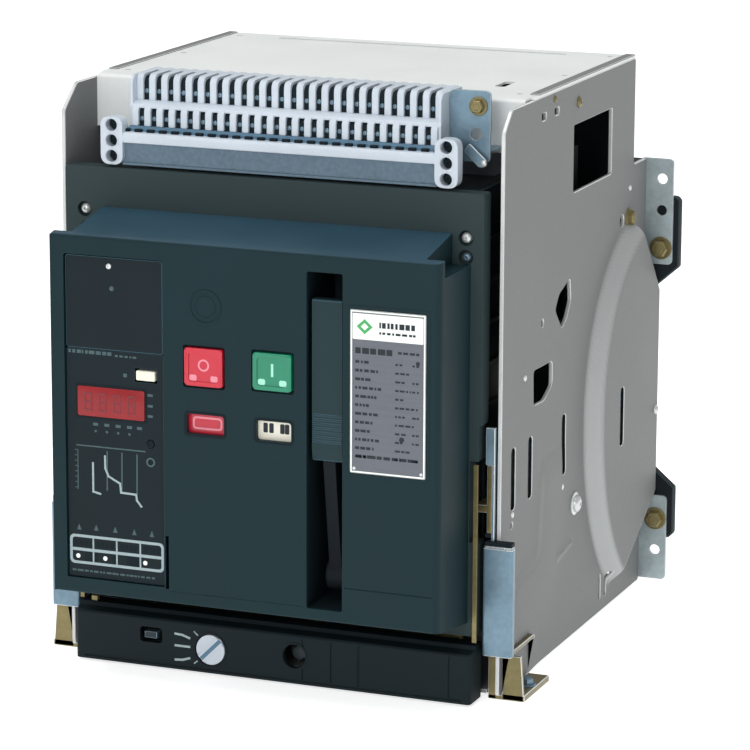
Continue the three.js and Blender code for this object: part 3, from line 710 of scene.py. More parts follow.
def rear_base_details():
    """Ribs and screws on the back of the base, and the busbar bolts."""
    ribs = Shape()
    for x in POLES:
        for z in (66, 96, 166, 196, 226, 300, 326):
            ribs.block(around(x, 41), (299, 303), around(z, 2))
    ribs.piece("rear_base_ribs", "black", "cradle", "black_moulding", bevel=0.8)
    screws = Shape()
    for x in (-157.5, 157.5):
        for z in (60, 150, 240, 330):
            screws.screw((x, BASE_BACK - 2.6, z), (0, 1, 0), 4, 2.4)
    screws.piece("rear_base_screws", "blue_zinc", "cradle", "zinc_blue")
    bolts = Shape()
    for x in POLES:
        for z in TERMINAL_LEVELS:
            for shift in (-15, 15):
                bolts.bolt((x + shift, 327, z + 7.4), (0, 0, 1), 14, 8)
                bolts.bolt((x + shift, 327, z - 7.4), (0, 0, -1), 14, 7)
    bolts.piece("busbar_bolts", "yellow_zinc", "cradle", "zinc_yellow", bevel=0.25)


rear_base_details()
for pole in (1, 2, 3):
    for level in ("upper", "lower"):
        dress(f"{level}_terminal_{pole}", "copper", 0.8, "bare_copper")
        dress(f"{level}_contact_{pole}", "copper", 0.8, "bare_copper")
    dress(f"moving_contact_{pole}", "bare_copper", 1.0)
    dress(f"arc_chute_{pole}", "grey", 0.5)


# ------------------------------------------------------------------ cradle: sheets, feet, corners
TOP_X, TOP_Y, TOP_Z = extent("top_plate")


def top_plate():
    """White cover sheet with a rounded bend down to the front flange behind the terminals."""
    thick, outer, inner = 1.7, 3, 1.3

    def bend(radius, angles):
        return [(TOP_Y[0] + outer - radius * math.cos(a), TOP_Z[1] - outer + radius * math.sin(a))
                for a in map(math.radians, angles)]
    shape = Shape()
    profile = [(TOP_Y[0], TOP_Z[0]), *bend(outer, (0, 22, 45, 68, 90)), (62, TOP_Z[1]),
               (62, TOP_Z[1] - thick), *bend(inner, (90, 60, 30, 0)), (TOP_Y[0] + thick, TOP_Z[0])]
    shape.prism("x", profile, (-SHEET_INNER, SHEET_INNER))
    openings = [pane(*hole, 2) for hole in (
        ((-133, -119), (66, 72)), ((125, 133), (104, 130)), ((-120, 120), (280, 286)))]
    openings += [circle(x, y, 2.4, 14) for x in (-155, 155) for y in (76, 176, 285)]
    outline = pane((TOP_X[0], TOP_X[1]), (61.9, TOP_Y[1]), 2)
    shape.prism("z", outline, (TOP_Z[1] - thick, TOP_Z[1]), openings)
    shape.piece("top_plate_sheet", "white", "cradle", "white_steel", ["top_plate"], bevel=0.4)
    screws = Shape()
    for x in (-SHEET_INNER + 6, SHEET_INNER - 6):
        for y in (100, 250):
            screws.screw((x, y, TOP_Z[1] - 2), (0, 0, 1), 3.2, 1.9)
    flange = Shape()
    for sign in (-1, 1):
        x = sorted((sign * (SHEET_INNER - 5), sign * (TOP_X[1] - 0.4)))
        flange.prism("z", pane(x, (74, 299), 1.5), (TOP_Z[1] - 0.2, TOP_Z[1] + 0.9))
    # Edge look: painted highlight on the rounded edges.
    flange.piece("top_plate_flanges", "plate", "cradle", "plate_steel", bevel=0.3, edge="plate_edge_highlight")
    screws.piece("top_plate_screws", "bright_zinc_and_edge_highlight", "cradle", "zinc_blue")


top_plate()
# Edge look: painted highlight on the rounded edges.
dress("base_plate", "plate", 0.4, "plate_edge_highlight")


def foot(side, sign):
    """Bent zinc angle that carries the plate, with a folded stiffener and a bolt."""
    x, y, z = extent("right_foot")
    shape = Shape()
    shape.prism("y", rounded([(x[0], 0), (x[1], 0), (x[1], 5), (172.4, 5), (172.4, z[1]), (x[1] - 12, z[1]),
                              (x[1] - 12, z[1] - 3), (171.3, z[1] - 3), (171.3, 3.6), (x[0], 3.6)], 0.8, 2),
                y)
    shape.prism("x", rounded([(y[0], 0), (y[0] + 3.5, 0), (y[0] + 3.5, z[1]), (y[0], z[1])], 0.8, 2),
                (x[0], 167.4))
    shape.prism("y", [(172, 0.5), (x[1] - 0.5, 0.5), (x[1] - 3, z[1] - 1), (172, z[1] - 1)], (y[0], y[0] + 3))
    # Edge look: painted highlight on the rounded edges.
    shape.mirror(sign).piece(f"{side}_foot_angle", "yellow_zinc", "cradle", "zinc_yellow",
                             [f"{side}_foot"], bevel=0.5, edge="bright_zinc_and_edge_highlight")
    bolt = Shape()
    bolt.bolt((180.5, 32, 4.9), (0, 0, 1), 10, 5)
    bolt.mirror(sign).piece(f"{side}_foot_bolt", "blue_zinc", "cradle", "zinc_blue", bevel=0.2)


def corner_bracket(side, sign):
    """Zinc corner: a folded block low down, and the notched post that the rail looks through."""
    x, y, z = extent("right_corner_bracket")
    notch = (extent("right_slide_rail")[2][0] - 5, extent("right_slide_rail")[2][1] + 1.5)
    post_x = (x[0], SHEET_INNER - 0.6)
    low = Shape()
    low.prism("z", pane(x, y, 2.2), (z[0], 116.5))
    low.prism("z", pane((x[0] + 0.6, x[1] - 0.6), (y[0] + 0.6, y[1]), 2), (116.4, 118))
    # Edge look: painted highlight on the rounded edges.
    low.mirror(sign).piece(f"{side}_corner_block", "blue_zinc", "cradle", "zinc_blue",
                           [f"{side}_corner_bracket"], bevel=0.6, edge="bright_zinc_and_edge_highlight")
    post = Shape()
    post.block(post_x, (y[0] + 4, y[1]), (notch[1], z[1]))
    post.block((165.2, post_x[1]), (y[0] + 4, y[1]), (notch[0], notch[1]))
    post.block(post_x, (y[0] + 4, y[1]), (118.2, notch[0]))
    # Edge look: painted highlight on the rounded edges.
    post.mirror(sign).piece(f"{side}_corner_post", "blue_zinc", "cradle", "zinc_blue", bevel=0.5,
                            edge="bright_zinc_and_edge_highlight")
    Shape().block((x[0] + 1, x[1] - 1), (y[0] + 1.2, y[1]), (118, 121)).mirror(sign).piece(
        f"{side}_corner_seam", "recess", "cradle", "black_moulding", bevel=0.3)


for side, sign in SIDES:
    foot(side, sign)
    corner_bracket(side, sign)
    # Guide rails take the dark look: painted shade behind the plate slots.
    dress(f"{side}_guide_rail", "dark_zinc_and_shade", 0.4)
    # Edge look of the slide rails: painted highlight on the rounded edges.
    dress(f"{side}_slide_rail", "yellow_zinc", 0.4, "bright_zinc_and_edge_highlight")


# ------------------------------------------------------------------ cradle: racking gear
BEAM_X, BEAM_Y, BEAM_Z = extent("front_beam")
DISC_X, DISC_Y, DISC_Z = extent("position_disc")
DISC = (middle(DISC_X), middle(DISC_Z), (DISC_X[1] - DISC_X[0]) / 2)
SCREW = (middle(extent("racking_screw")[0]), middle(extent("racking_screw")[2]))


def front_beam():
    solid = Shape()
    outline = [(BEAM_Y[0], BEAM_Z[0]), (BEAM_Y[1], BEAM_Z[0]), (BEAM_Y[1], BEAM_Z[1]), (-12, BEAM_Z[1]),
               (-13.5, BEAM_Z[1] - 3), (BEAM_Y[0] + 1, BEAM_Z[1] - 4.5), (BEAM_Y[0], BEAM_Z[1] - 6)]
    solid.prism("x", outline, BEAM_X)
    solid.round_edges(lambda a, b: a.y < -15 and b.y < -15 and abs(a.x) > 150 and a.x == b.x, 3)
    tools = Shape()
    tools.block(grown(BEAM_X, -5), (BEAM_Y[0] + 4.5, BEAM_Y[1] + 4), grown(BEAM_Z, -4))
    tools.rod("y", SCREW, (BEAM_Y[0] - 3, BEAM_Y[0] + 9), 9)
    tools.rod("y", DISC[:2], (BEAM_Y[0] - 3, BEAM_Y[0] + 9), DISC[2] + 0.7, 32)
    tools.prism("y", pane((-104, -86), (20.5, 32), 3), (BEAM_Y[0] - 3, BEAM_Y[0] + 9))
    for x in (26, 48.5, 70, 140):
        tools.block((x, x + 1.2), (BEAM_Y[0] - 1, BEAM_Y[0] + 0.8), (6, BEAM_Z[1] - 7))
    tools.block((-150, 150), (BEAM_Y[0] - 1, BEAM_Y[0] + 0.7), (4.2, 5))
    solid.carved(tools).piece("front_beam_moulding", "beam", "cradle", "black_moulding", ["front_beam"],
                              bevel=0.45)
    ring = Shape()
    for x, z, radius in ((*SCREW, 9.2), (*DISC[:2], DISC[2] + 0.9)):
        ring.lathe((x, BEAM_Y[0] + 0.8, z), FORWARD,
                   [(radius, 0), (radius + 1.6, 0), (radius + 1.4, 1.2), (radius, 1.2), (radius, 0)], 32)
    ring.piece("front_beam_rings", "beam", "cradle", "black_moulding")
    marks = Shape()
    face = (BEAM_Y[0] - 0.12, BEAM_Y[0] + 0.1)
    for height, lean in ((29.5, -2.2), (20.5, 0), (9.5, 2.2)):
        marks.stroke([(-75, height), (-69.5, height + lean * 0.2), (-64, height + lean)], 1.7, face)
    marks.stroke([(-59.8, 32.6), (-57.2, 30.2)], 0.9, face)
    marks.stroke([(-59.8, 8.4), (-57.2, 10.6)], 0.9, face)
    marks.piece("position_marks", "print_pale", "cradle")
    Shape().prism("y", pane((-147.5, -142.5), (45, 49), 1), (-14, -10)).piece(
        "left_latch_tip", "yellow_zinc", "cradle", "zinc_yellow", bevel=0.5)


def position_disc():
    """Turning disc with a raised bar across it at 45 degrees, and a driver slot along the bar."""
    x, z, radius = DISC
    turned = Matrix.Rotation(math.radians(45), 2)

    def bar(half_length, low, high):
        return [tuple(Vector((x, z)) + turned @ Vector(p))
                for p in ((-half_length, low), (half_length, low), (half_length, high), (-half_length, high))]
    solid = Shape()
    solid.lathe((x, DISC_Y[0] + 4, z), FORWARD,
                [(0, 0), (radius, 0), (radius, 3.2), (radius - 0.7, 3.9), (0, 3.9)], 40)
    solid.rod("y", (x, z), (DISC_Y[0] + 3, DISC_Y[1]), 3)
    tools = Shape()
    tools.prism("y", bar(radius * 1.2, -1.5, 1.5), (DISC_Y[0] - 1, DISC_Y[0] + 1.6))
    for low, high in ((3.4, radius), (-radius, -3.4)):
        tools.prism("y", bar(radius * 0.86, low, high), (DISC_Y[0] - 1, DISC_Y[0] + 0.7))
    solid.carved(tools).piece("position_disc_moulding", "grey", "position_disc", "white_plastic",
                              ["position_disc"], bevel=0.25)
    Shape().prism("y", bar(radius * 0.93, -1.5, 1.5), (DISC_Y[0] + 1.1, DISC_Y[0] + 1.7)).piece(
        "position_disc_slot", "blue", "position_disc", "white_plastic")


def front_strips():
    """Upright zinc strips on the breaker, just above the two ends of the beam."""
    for side, sign in SIDES:
        Shape().prism("z", rectangle((154.2, 157.6), (-12, -10.15)), (46, 178)).mirror(sign).piece(
            f"{side}_front_strip", "yellow_zinc", "breaker", "zinc_yellow", bevel=0.3)


front_beam()
position_disc()
front_strips()
dress("racking_screw", "dark_zinc_and_shade", 0.5)
# Edge look: painted highlight on the rounded edges.
dress("racking_carriage", "yellow_zinc", 0.8, "bright_zinc_and_edge_highlight")
# Edge look of the padlock slide: painted highlight on the rounded edges.
dress("padlock_slide", "dark_zinc_and_shade", 0.4, "blue_zinc")
for shutter in ("upper_shutter", "lower_shutter"):
    dress(shutter, "grey", 0.6)


# ------------------------------------------------------------------ breaker: body and fascia
HOUSE_LEFT = extent("pole_housing")[0][0]
FASCIA_X, FASCIA_Y, FASCIA_Z = extent("fascia")
# The fascia look on the rounded edges of the black moulding is a painted highlight.
dress("pole_housing", "black", 1.2, "fascia")
dress("main_shaft", "yellow_zinc", 0.5)
dress("cam_shaft", "yellow_zinc", 0.4)
dress("charging_motor", "blue_zinc", 0.8)
dress("closing_coil", "black", 0.6)


def housing_details():
    """Stiffening ribs on the housing's sides and vented covers over the arc chutes."""
    half = max(-HOUSE_LEFT - 7, 150)
    ribs = Shape()
    for sign in (-1, 1):
        for z in (84, 104, 214, 244, 274, 304, 334):
            ribs.block(sorted((sign * (half - 0.5), sign * (half + 2))), (20, 215), around(z, 1.5))
        for y in (18, 74, 134, 194):
            ribs.block(sorted((sign * (half - 0.5), sign * (half + 2))), (y, y + 3), (66, 360))
    ribs.piece("housing_ribs", "black", "breaker", "black_moulding", bevel=0.5)
    covers = Shape()
    for x in POLES:
        slots = [pane(around(x, 33), (y, y + 4), 1.8) for y in range(132, 204, 10)]
        covers.prism("z", pane(around(x, 41), (120, 217), 4), (383.6, 387), slots)
        for shift in (-37, 37):
            covers.screw((x + shift, 126, 386.8), (0, 0, 1), 2.6, 1.8)
            covers.screw((x + shift, 211, 386.8), (0, 0, 1), 2.6, 1.8)
    covers.piece("arc_chute_covers", "grey", "breaker", "grey_moulding", bevel=0.4)


WING_BOTTOM = 206
FASCIA_HALF_WIDTH = 157
RECESS_DEPTH = 5
FASCIA_SCREWS = [(-150.8, 341.2), (-149.3, 327), (146, 341), (146, 327)]


def fascia():
    """Moulded front wall behind the cover, with its corner screws in deep recesses."""
    solid = Shape()
    half = FASCIA_HALF_WIDTH
    outline = [(-half, FASCIA_Z[0]), (half, FASCIA_Z[0]), (half, WING_BOTTOM), (FASCIA_X[1], WING_BOTTOM),
               (FASCIA_X[1], FASCIA_Z[1]), (FASCIA_X[0], FASCIA_Z[1]), (FASCIA_X[0], WING_BOTTOM),
               (-half, WING_BOTTOM)]
    solid.prism("y", rounded(outline, 2.5), FASCIA_Y)
    tools = Shape()
    tools.block((44, 80), grown(FASCIA_Y, 3), (80, 150))
    tools.block((-120, 36), grown(FASCIA_Y, 3), (90, 320))
    rail = extent("right_slide_rail")
    for sign in (-1, 1):
        tools.block(sorted((sign * (rail[0][0] - 0.4), sign * 170)), grown(FASCIA_Y, 3), grown(rail[2], 5))
    for centre in FASCIA_SCREWS:
        tools.rod("y", centre, (FASCIA_Y[0] - 2, FASCIA_Y[0] + RECESS_DEPTH), 5.6, 28)
    solid.carved(tools).piece("fascia_moulding", "fascia", "breaker", "black_moulding", ["fascia"],
                              bevel=0.5)
    for name, look, places, radius, height in (
            ("fascia_lower_screws", "blue_zinc", FASCIA_SCREWS[1::2], 3.4, 3.5),
            ("fascia_screws", "bright_zinc_and_edge_highlight", FASCIA_SCREWS[::2], 3.9, 4.5)):
        screws = Shape()
        for x, z in places:
            screws.screw((x, FASCIA_Y[0] + RECESS_DEPTH - 0.5, z), FORWARD, radius, height)
        screws.piece(name, look, "breaker", "zinc_blue", bevel=0.2)


housing_details()
fascia()


# ------------------------------------------------------------------ breaker: front cover
COVER_X, COVER_Y, COVER_Z = extent("front_cover")
FACE = COVER_Y[0]
COVER_FACE_Z = (68, 333)
UNIT_X, UNIT_Y, UNIT_Z = extent("trip_unit")
WALL = 3.5
STEP_X, STEP_Z = 136, 322
LEVER_OPENING = ((49.5, 77), (76, 321))
FLAG_WINDOWS = {"contact": ((-43, -14), (196, 210.5)), "charge": ((11, 38), (196, 210.5))}
PRINT = (-0.15, 0.1)


def printed(face):
    """The depth of a printed mark on a face."""
    return face + PRINT[0], face + PRINT[1]


def front_cover():
    solid = Shape()
    side = [(FACE, COVER_FACE_Z[0]), (COVER_Y[1], COVER_Z[0]), (COVER_Y[1], COVER_Z[1]),
            (FACE, COVER_FACE_Z[1])]
    solid.prism("x", side, COVER_X)
    solid.round_edges(lambda a, b: a.y < FACE + 1 and b.y < FACE + 1 and a.x > 0 and b.x > 0, 6, 5)
    solid.round_edges(lambda a, b: a.y < FACE + 1 and b.y < FACE + 1 and a.x < 0 and b.x < 0, 1.5, 2)
    solid.round_edges(lambda a, b: a.y < FACE + 1 and b.y < FACE + 1 and a.x * b.x < 0, 2, 3)
    tools = Shape()
    cavity = [(FACE + WALL, COVER_FACE_Z[0] + WALL), (COVER_Y[1] + 2, COVER_Z[0] + WALL),
              (COVER_Y[1] + 2, COVER_Z[1] - WALL), (FACE + WALL, COVER_FACE_Z[1] - WALL)]
    tools.prism("x", cavity, (2.5 - STEP_X, STEP_X - 2.5))
    low_cavity = [*cavity[:2], (COVER_Y[1] + 2, STEP_Z - 2.5), (FACE + WALL, STEP_Z - 2.5)]
    tools.prism("x", low_cavity, grown(COVER_X, -WALL))
    for sign in (-1, 1):
        corner = [(sign * STEP_X, FACE + 8), (sign * 156, FACE + 8), (sign * 156, 0), (sign * STEP_X, 0)]
        tools.prism("z", rounded(corner, 2.5), (STEP_Z, 350))
    front = (FACE - 5, FACE + WALL + 1)
    tools.prism("y", pane(UNIT_X, UNIT_Z, 2, 0.9), front)
    tools.prism("y", pane(*LEVER_OPENING, 2), front)
    for node in ("off_button", "on_button"):
        x, _, z = extent(node)
        tools.prism("y", pane(grown(x, 1.6), grown(z, 1.8), 2), front)
    for x, z in FLAG_WINDOWS.values():
        tools.prism("y", pane(x, z, 2.5), front)
    tools.block((-60.6, -57.8), front, (78, 118))
    tools.block((78.6, 146), (FACE - 1, FACE + 0.9), (93.5, 94.7))
    tools.block((-57, 46), (FACE - 1, FACE + 0.6), (76.5, 77.2))
    # Edge look: painted highlight on the rounded edges.
    made = solid.carved(tools).piece("front_cover_moulding", "cover", "breaker", "cover_moulding",
                                     ["front_cover"], bevel=0.6, edge="cover_edge_highlight")
    made.data.materials.append(LOOKS["cover_top_sheen"])
    # Upward top faces take the lighter copy: painted reflection.
    for face in made.data.polygons:
        if face.normal.z > 0.9 and face.center.z > (COVER_FACE_Z[1] - 1) * MM:
            face.material_index = 2
    ring = Shape()
    for radius, width, lift in ((12.6, 1.5, 0.55), (8.2, 0.9, 0.3)):
        ring.lathe((-28.1, FACE + 0.3, 289), FORWARD, [
            (radius, 0), (radius, lift + 0.2), (radius - width / 2, lift + 0.45),
            (radius - width, lift + 0.2), (radius - width, 0), (radius, 0)], 48)
    ring.piece("cover_seal_ring", "cover", "breaker", "cover_moulding")
    # Dark lining of the lever opening and its back wall: painted shade in the slot.
    lining = Shape()
    x, z = LEVER_OPENING
    lining.prism("y", rectangle(grown(x, 2), grown(z, 2)), (FACE + WALL, COVER_Y[1] - 4), [rectangle(x, z)])
    lining.block(grown(x, 2), (-16, -14.5), (152, z[1] + 2))
    lining.piece("lever_well", "recess", "breaker", "cover_moulding", bevel=0.3)
    # Dark walls round the button openings: painted shade in the gaps.
    wells = Shape()
    for node in ("off_button", "on_button"):
        x, _, z = extent(node)
        inner = rectangle(grown(x, 0.5), grown(z, 0.5))
        wells.prism("y", rectangle(grown(x, 4), grown(z, 4)), (FACE + 1.6, FACE + WALL - 0.02), [inner])
    wells.piece("button_wells", "recess", "breaker", "cover_moulding", bevel=0.3)
    raised = Shape()
    label_x, _, label_z = extent("nameplate")
    raised.prism("y", pane(label_x, label_z, 3, 2.6), (FACE - 0.35, FACE + 1),
                 [pane(label_x, label_z, 1, 0.5)])
    raised.piece("nameplate_frame", "cover", "breaker", "cover_moulding", bevel=0.15)


front_cover()


# ------------------------------------------------------------------ breaker: trip unit
UNIT_FACE = UNIT_Y[0]
LENS_X, LENS_Y, LENS_Z = extent("display_lens")
RESET_X, RESET_Y, RESET_Z = extent("reset_button")
TEST_X, TEST_Y, TEST_Z = extent("test_button")
SMALL_HOLE_Z = middle(TEST_Z) - 13.5
UNIT_SPLIT = 251


def trip_unit():
    """Plain flap above, and the panel of the electronic unit below."""
    panel = Shape()
    panel.prism("y", pane(UNIT_X, (UNIT_Z[0], UNIT_SPLIT - 0.4), 1.5), UNIT_Y)
    tools = Shape()
    front = (UNIT_FACE - 2, UNIT_FACE + 2.6)
    tools.prism("y", pane(LENS_X, LENS_Z, 1, 0.4), front)
    tools.prism("y", pane(RESET_X, RESET_Z, 1, 0.7), (UNIT_FACE - 2, RESET_Y[1] + 6))
    tools.rod("y", (middle(TEST_X), middle(TEST_Z)), (UNIT_FACE - 2, TEST_Y[1] + 6), 3.6)
    tools.rod("y", (middle(TEST_X), SMALL_HOLE_Z), (UNIT_FACE - 1, UNIT_FACE + 0.8), 2.2)
    # Edge look: painted highlight on the rounded edges.
    panel.carved(tools).piece("trip_unit_panel", "unit", "breaker", "cover_moulding", ["trip_unit"],
                              bevel=0.35, edge="cover_edge_highlight")
    # Edge look: painted highlight on the rounded edges.
    Shape().prism("y", pane(UNIT_X, (UNIT_SPLIT, UNIT_Z[1]), 2), (UNIT_FACE - 0.4, UNIT_Y[1])).piece(
        "trip_unit_flap", "unit", "breaker", "cover_moulding", bevel=0.5, edge="cover_edge_highlight")
    Shape().screw((-104, UNIT_FACE - 0.3, 312.5), FORWARD, 2.1, 1.3).piece(
        "flap_screw", "bright_zinc_and_edge_highlight", "breaker", "zinc_blue")
    lamp = Shape()
    lamp.lathe((-101.8, UNIT_FACE - 0.3, 296.4), FORWARD, [(0, 0), (1.9, 0), (1.7, 0.5), (0.9, 0.9), (0, 1)])
    lamp.piece("flap_lamp", "print_dim", "breaker")


def unit_print():
    """Small print, scales and the trip curve on the panel, all as thin raised marks."""
    y = printed(UNIT_FACE)
    pale = Shape()
    curve = [(-108.8, 172), (-108.6, 163), (-106.2, 157.5), (-97, 152.8), (-96.2, 146.2), (-84.2, 145.8),
             (-83.6, 141.5), (-80.3, 137.4)]
    pale.stroke(curve, 1.5, y)
    pale.stroke([(-118.5, 166), (-118.5, 144.8), (-113, 143.6)], 1.5, y)
    x, z = (-139.4, -62.6), (89.5, 111.5)
    x = (max(x[0], UNIT_X[0] + 0.8), x[1])
    border = pane(x, z, 2.6, -2.0)
    pale.prism("y", pane(x, z, 4), y, [border])
    pale.block(grown(x, -1), printed(UNIT_FACE - 0.02), (99.3, 101.5))
    for share in (0.25, 0.5, 0.75):
        centre = x[0] + share * (x[1] - x[0])
        pale.block(around(centre, 0.6), printed(UNIT_FACE - 0.04), grown(z, -1))
    pale.piece("unit_marks_pale", "print_pale", "breaker")
    dim = Shape()
    dashes(dim, (-137, -102), 248.2, 2.6, y, 3, 4.5)
    dashes(dim, (-100, -83), 247.2, 1.5, y, 5, 3.0)
    dim.prism("y", rectangle((-93.4, -90.6), (232.2, 234.8)), y)
    for z in (220.5, 212.5, 205):
        dim.prism("y", pane((-74.5, -70.3), around(z, 0.9), 0.6), y)
    for mark in (-107, -95.2, -83.2):
        dim.stroke([(mark, 175.5), (mark - 0.3, 147)], 1.0, y)
    dim.stroke([(-131, 178.6), (-77, 178.6)], 1.0, y)
    dim.stroke([(-130.4, 175), (-130.6, 146)], 0.7, y)
    for level in range(8):
        dim.stroke([(-132.6, 147 + level * 4), (-130.6, 147 + level * 4)], 0.6, y)
    for mark in (-116, -107, -98, -89, -81):
        dim.prism("y", pane(around(mark, 2), (194.2, 196.4), 0.5), y)
    for mark in (-116, -107, -98, -89):
        dim.prism("y", circle(mark, 190.2, 1.0, 10), y)
    for mark, base in ((-130.2, 115), (-116.5, 115.6), (-101.2, 115.6), (-86, 115.4), (-72, 115.4)):
        dim.prism("y", [(mark - 1.8, base), (mark + 1.8, base), (mark, base + 4.6)], y)
    dim.lathe((middle(TEST_X), UNIT_FACE + 0.1, SMALL_HOLE_Z), FORWARD,
              [(2.3, 0), (3.6, 0), (3.4, 0.35), (2.3, 0.35), (2.3, 0)], 28)
    dashes(dim, (-136, -70), 84.5, 1.4, y, 11, 5)
    dim.piece("unit_marks_dim", "print_dim", "breaker")
    dots = Shape()
    for mark in (-131.3, -109.5, -77.5):
        dots.prism("y", circle(mark, 95.3, 1.7, 16), printed(UNIT_FACE - 0.05))
    dots.piece("unit_marks_white", "print_white", "breaker")
    cells = Shape()
    for i in range(4):
        start = x[0] + 2.6 + i * (x[1] - x[0]) / 4
        dashes(cells, (start, start + 14), 105.3, 4.2, y, 20 + i, 4)
    cells.block((-92, -82.6), y, (92, 98.6))
    cells.block((-126, -116), y, (92, 98.4))
    cells.block((-104, -100.6), y, (92, 98.4))
    cells.piece("unit_marks_dark", "recess", "breaker")


def display():
    lens = Shape()
    lens.prism("y", pane(LENS_X, LENS_Z, 1), (LENS_Y[0] + 0.2, LENS_Y[1]))
    lens.round_edges(lambda a, b: a.y < LENS_Y[0] + 0.3 and b.y < LENS_Y[0] + 0.3, 0.5, 2)
    lens.piece("display_window", "display", "breaker", "display_red", ["display_lens"])
    digits = Shape()
    face = LENS_Y[0] + 0.2
    for i in range(4):
        x = LENS_X[0] + 6 + i * 11.4
        z = LENS_Z[0] + 4.5
        for ends in (((0, 0), (5, 0)), ((0, 6.3), (5, 6.3)), ((0, 12.6), (5, 12.6)), ((0, 0), (0, 12.6)),
                     ((5, 0), (5, 12.6))):
            digits.stroke([(x + u, z + v) for u, v in ends], 1.1, printed(face))
    digits.piece("display_segments", "display_edge", "breaker", "display_red")
    rim = Shape()
    rim.prism("y", pane(LENS_X, LENS_Z, 1.8, 1.7),
              around(UNIT_FACE, 0.3), [pane(LENS_X, LENS_Z, 1, 0.3)])
    rim.piece("display_rim", "recess", "breaker", "cover_moulding", bevel=0.1)


def unit_buttons():
    reset = Shape()
    reset.prism("y", pane(grown(RESET_X, -0.8), grown(RESET_Z, -0.9), 1), (UNIT_FACE - 0.9, RESET_Y[1] - 4))
    reset.rod("y", (middle(RESET_X), middle(RESET_Z)), (RESET_Y[1] - 5, RESET_Y[1]), 3)
    reset.piece("reset_button_cap", "button_white", "reset_button", "white_plastic", ["reset_button"],
                bevel=0.6)
    test = Shape()
    test.lathe((middle(TEST_X), TEST_Y[1], middle(TEST_Z)), FORWARD,
               [(0, 0), (3, 0), (3, 8.4), (2.4, 9), (1.4, 9), (1.1, 8.6), (0, 8.5)])
    test.piece("test_button_cap", "recess", "test_button", "black_moulding", ["test_button"])


trip_unit()
unit_print()
display()
unit_buttons()


# ------------------------------------------------------------------ breaker: buttons and flags
def push_button(node, look, symbol):
    """Cap with a raised rim round a shallow dish, and its open or closed symbol."""
    x, y, z = extent(node)
    cap = Shape()
    cap.prism("y", pane(x, z, 2), (y[0], FACE + 8))
    cap.round_edges(lambda a, b: a.y < y[0] + 0.1 and b.y < y[0] + 0.1, 1.2, 3)
    dish = Shape()
    dish_floor = y[0] + 0.9
    dish.prism("y", pane(x, z, 3, -3.2), (y[0] - 2, dish_floor))
    made = cap.carved(dish)
    made.rod("y", (middle(x), middle(z)), (FACE + 7.5, y[1]), 4, 16)
    made.piece(f"{node}_cap", look, node, f"{look}_plastic", [node], bevel=0.35)
    mark = Shape()
    depth = printed(dish_floor)
    if symbol == "open":
        ring = circle(middle(x), middle(z) + 1.5, 4.4, 28)
        mark.prism("y", ring, depth, [circle(middle(x), middle(z) + 1.5, 3.1, 28)])
    else:
        mark.block(around(middle(x), 0.9), depth, (middle(z) - 3.4, middle(z) + 6))
    for place in (-1, 1):
        mark.prism("y", pane(around(middle(x) + place * 8.2, 2.8), (z[0] + 3.6, z[0] + 8), 1.6),
                   depth)
    mark.piece(f"{node}_symbol", f"{look}_pale", node)


def flag_window(kind):
    """Framed window in the cover, with the two-field flag that slides behind it."""
    x, z = FLAG_WINDOWS[kind]
    frame_ring = Shape()
    frame_ring.prism("y", pane(x, z, 3.4, 1.8), (FACE - 0.45, FACE + 1),
                     [pane(x, z, 2.4, 0.1)])
    frame_ring.piece(f"{kind}_window_frame", "recess", "breaker", "cover_moulding", bevel=0.25)
    node = f"{kind}_flag"
    flag_x, flag_y, flag_z = extent(node)
    plate = Shape()
    plate.prism("y", pane(flag_x, flag_z, 1), flag_y)
    look, slot = {"contact": ("red", "red_plastic"), "charge": ("button_white", "white_plastic")}[kind]
    plate.piece(f"{node}_plate", look, node, slot, [node], bevel=0.3)
    marks = Shape()
    face = printed(flag_y[0])
    if kind == "contact":
        marks.prism("y", pane(grown(x, -3), grown(z, -2.6), 3), face,
                    [pane(grown(x, -4.4), grown(z, -4), 2)])
        marks.prism("y", pane(grown(x, -3), (flag_z[0] + 3, flag_z[0] + 12), 3), face)
        marks.piece(f"{node}_marks", "red_pale", node)
    else:
        for centre in (x[0] + 5.5, x[0] + 10, x[1] - 5, x[1] - 8.6):
            marks.prism("y", pane(around(centre, 1.7), (z[0] + 5, z[1] - 2.4), 1), face)
        marks.prism("y", circle(middle(x) + 1, flag_z[0] + 7.5, 4, 20), face)
        marks.piece(f"{node}_marks", "print_dark", node)


push_button("off_button", "red", "open")
push_button("on_button", "green", "closed")
for kind in FLAG_WINDOWS:
    flag_window(kind)


# ------------------------------------------------------------------ breaker: charging handle
HANDLE_X, HANDLE_Y, HANDLE_Z = extent("charging_handle")


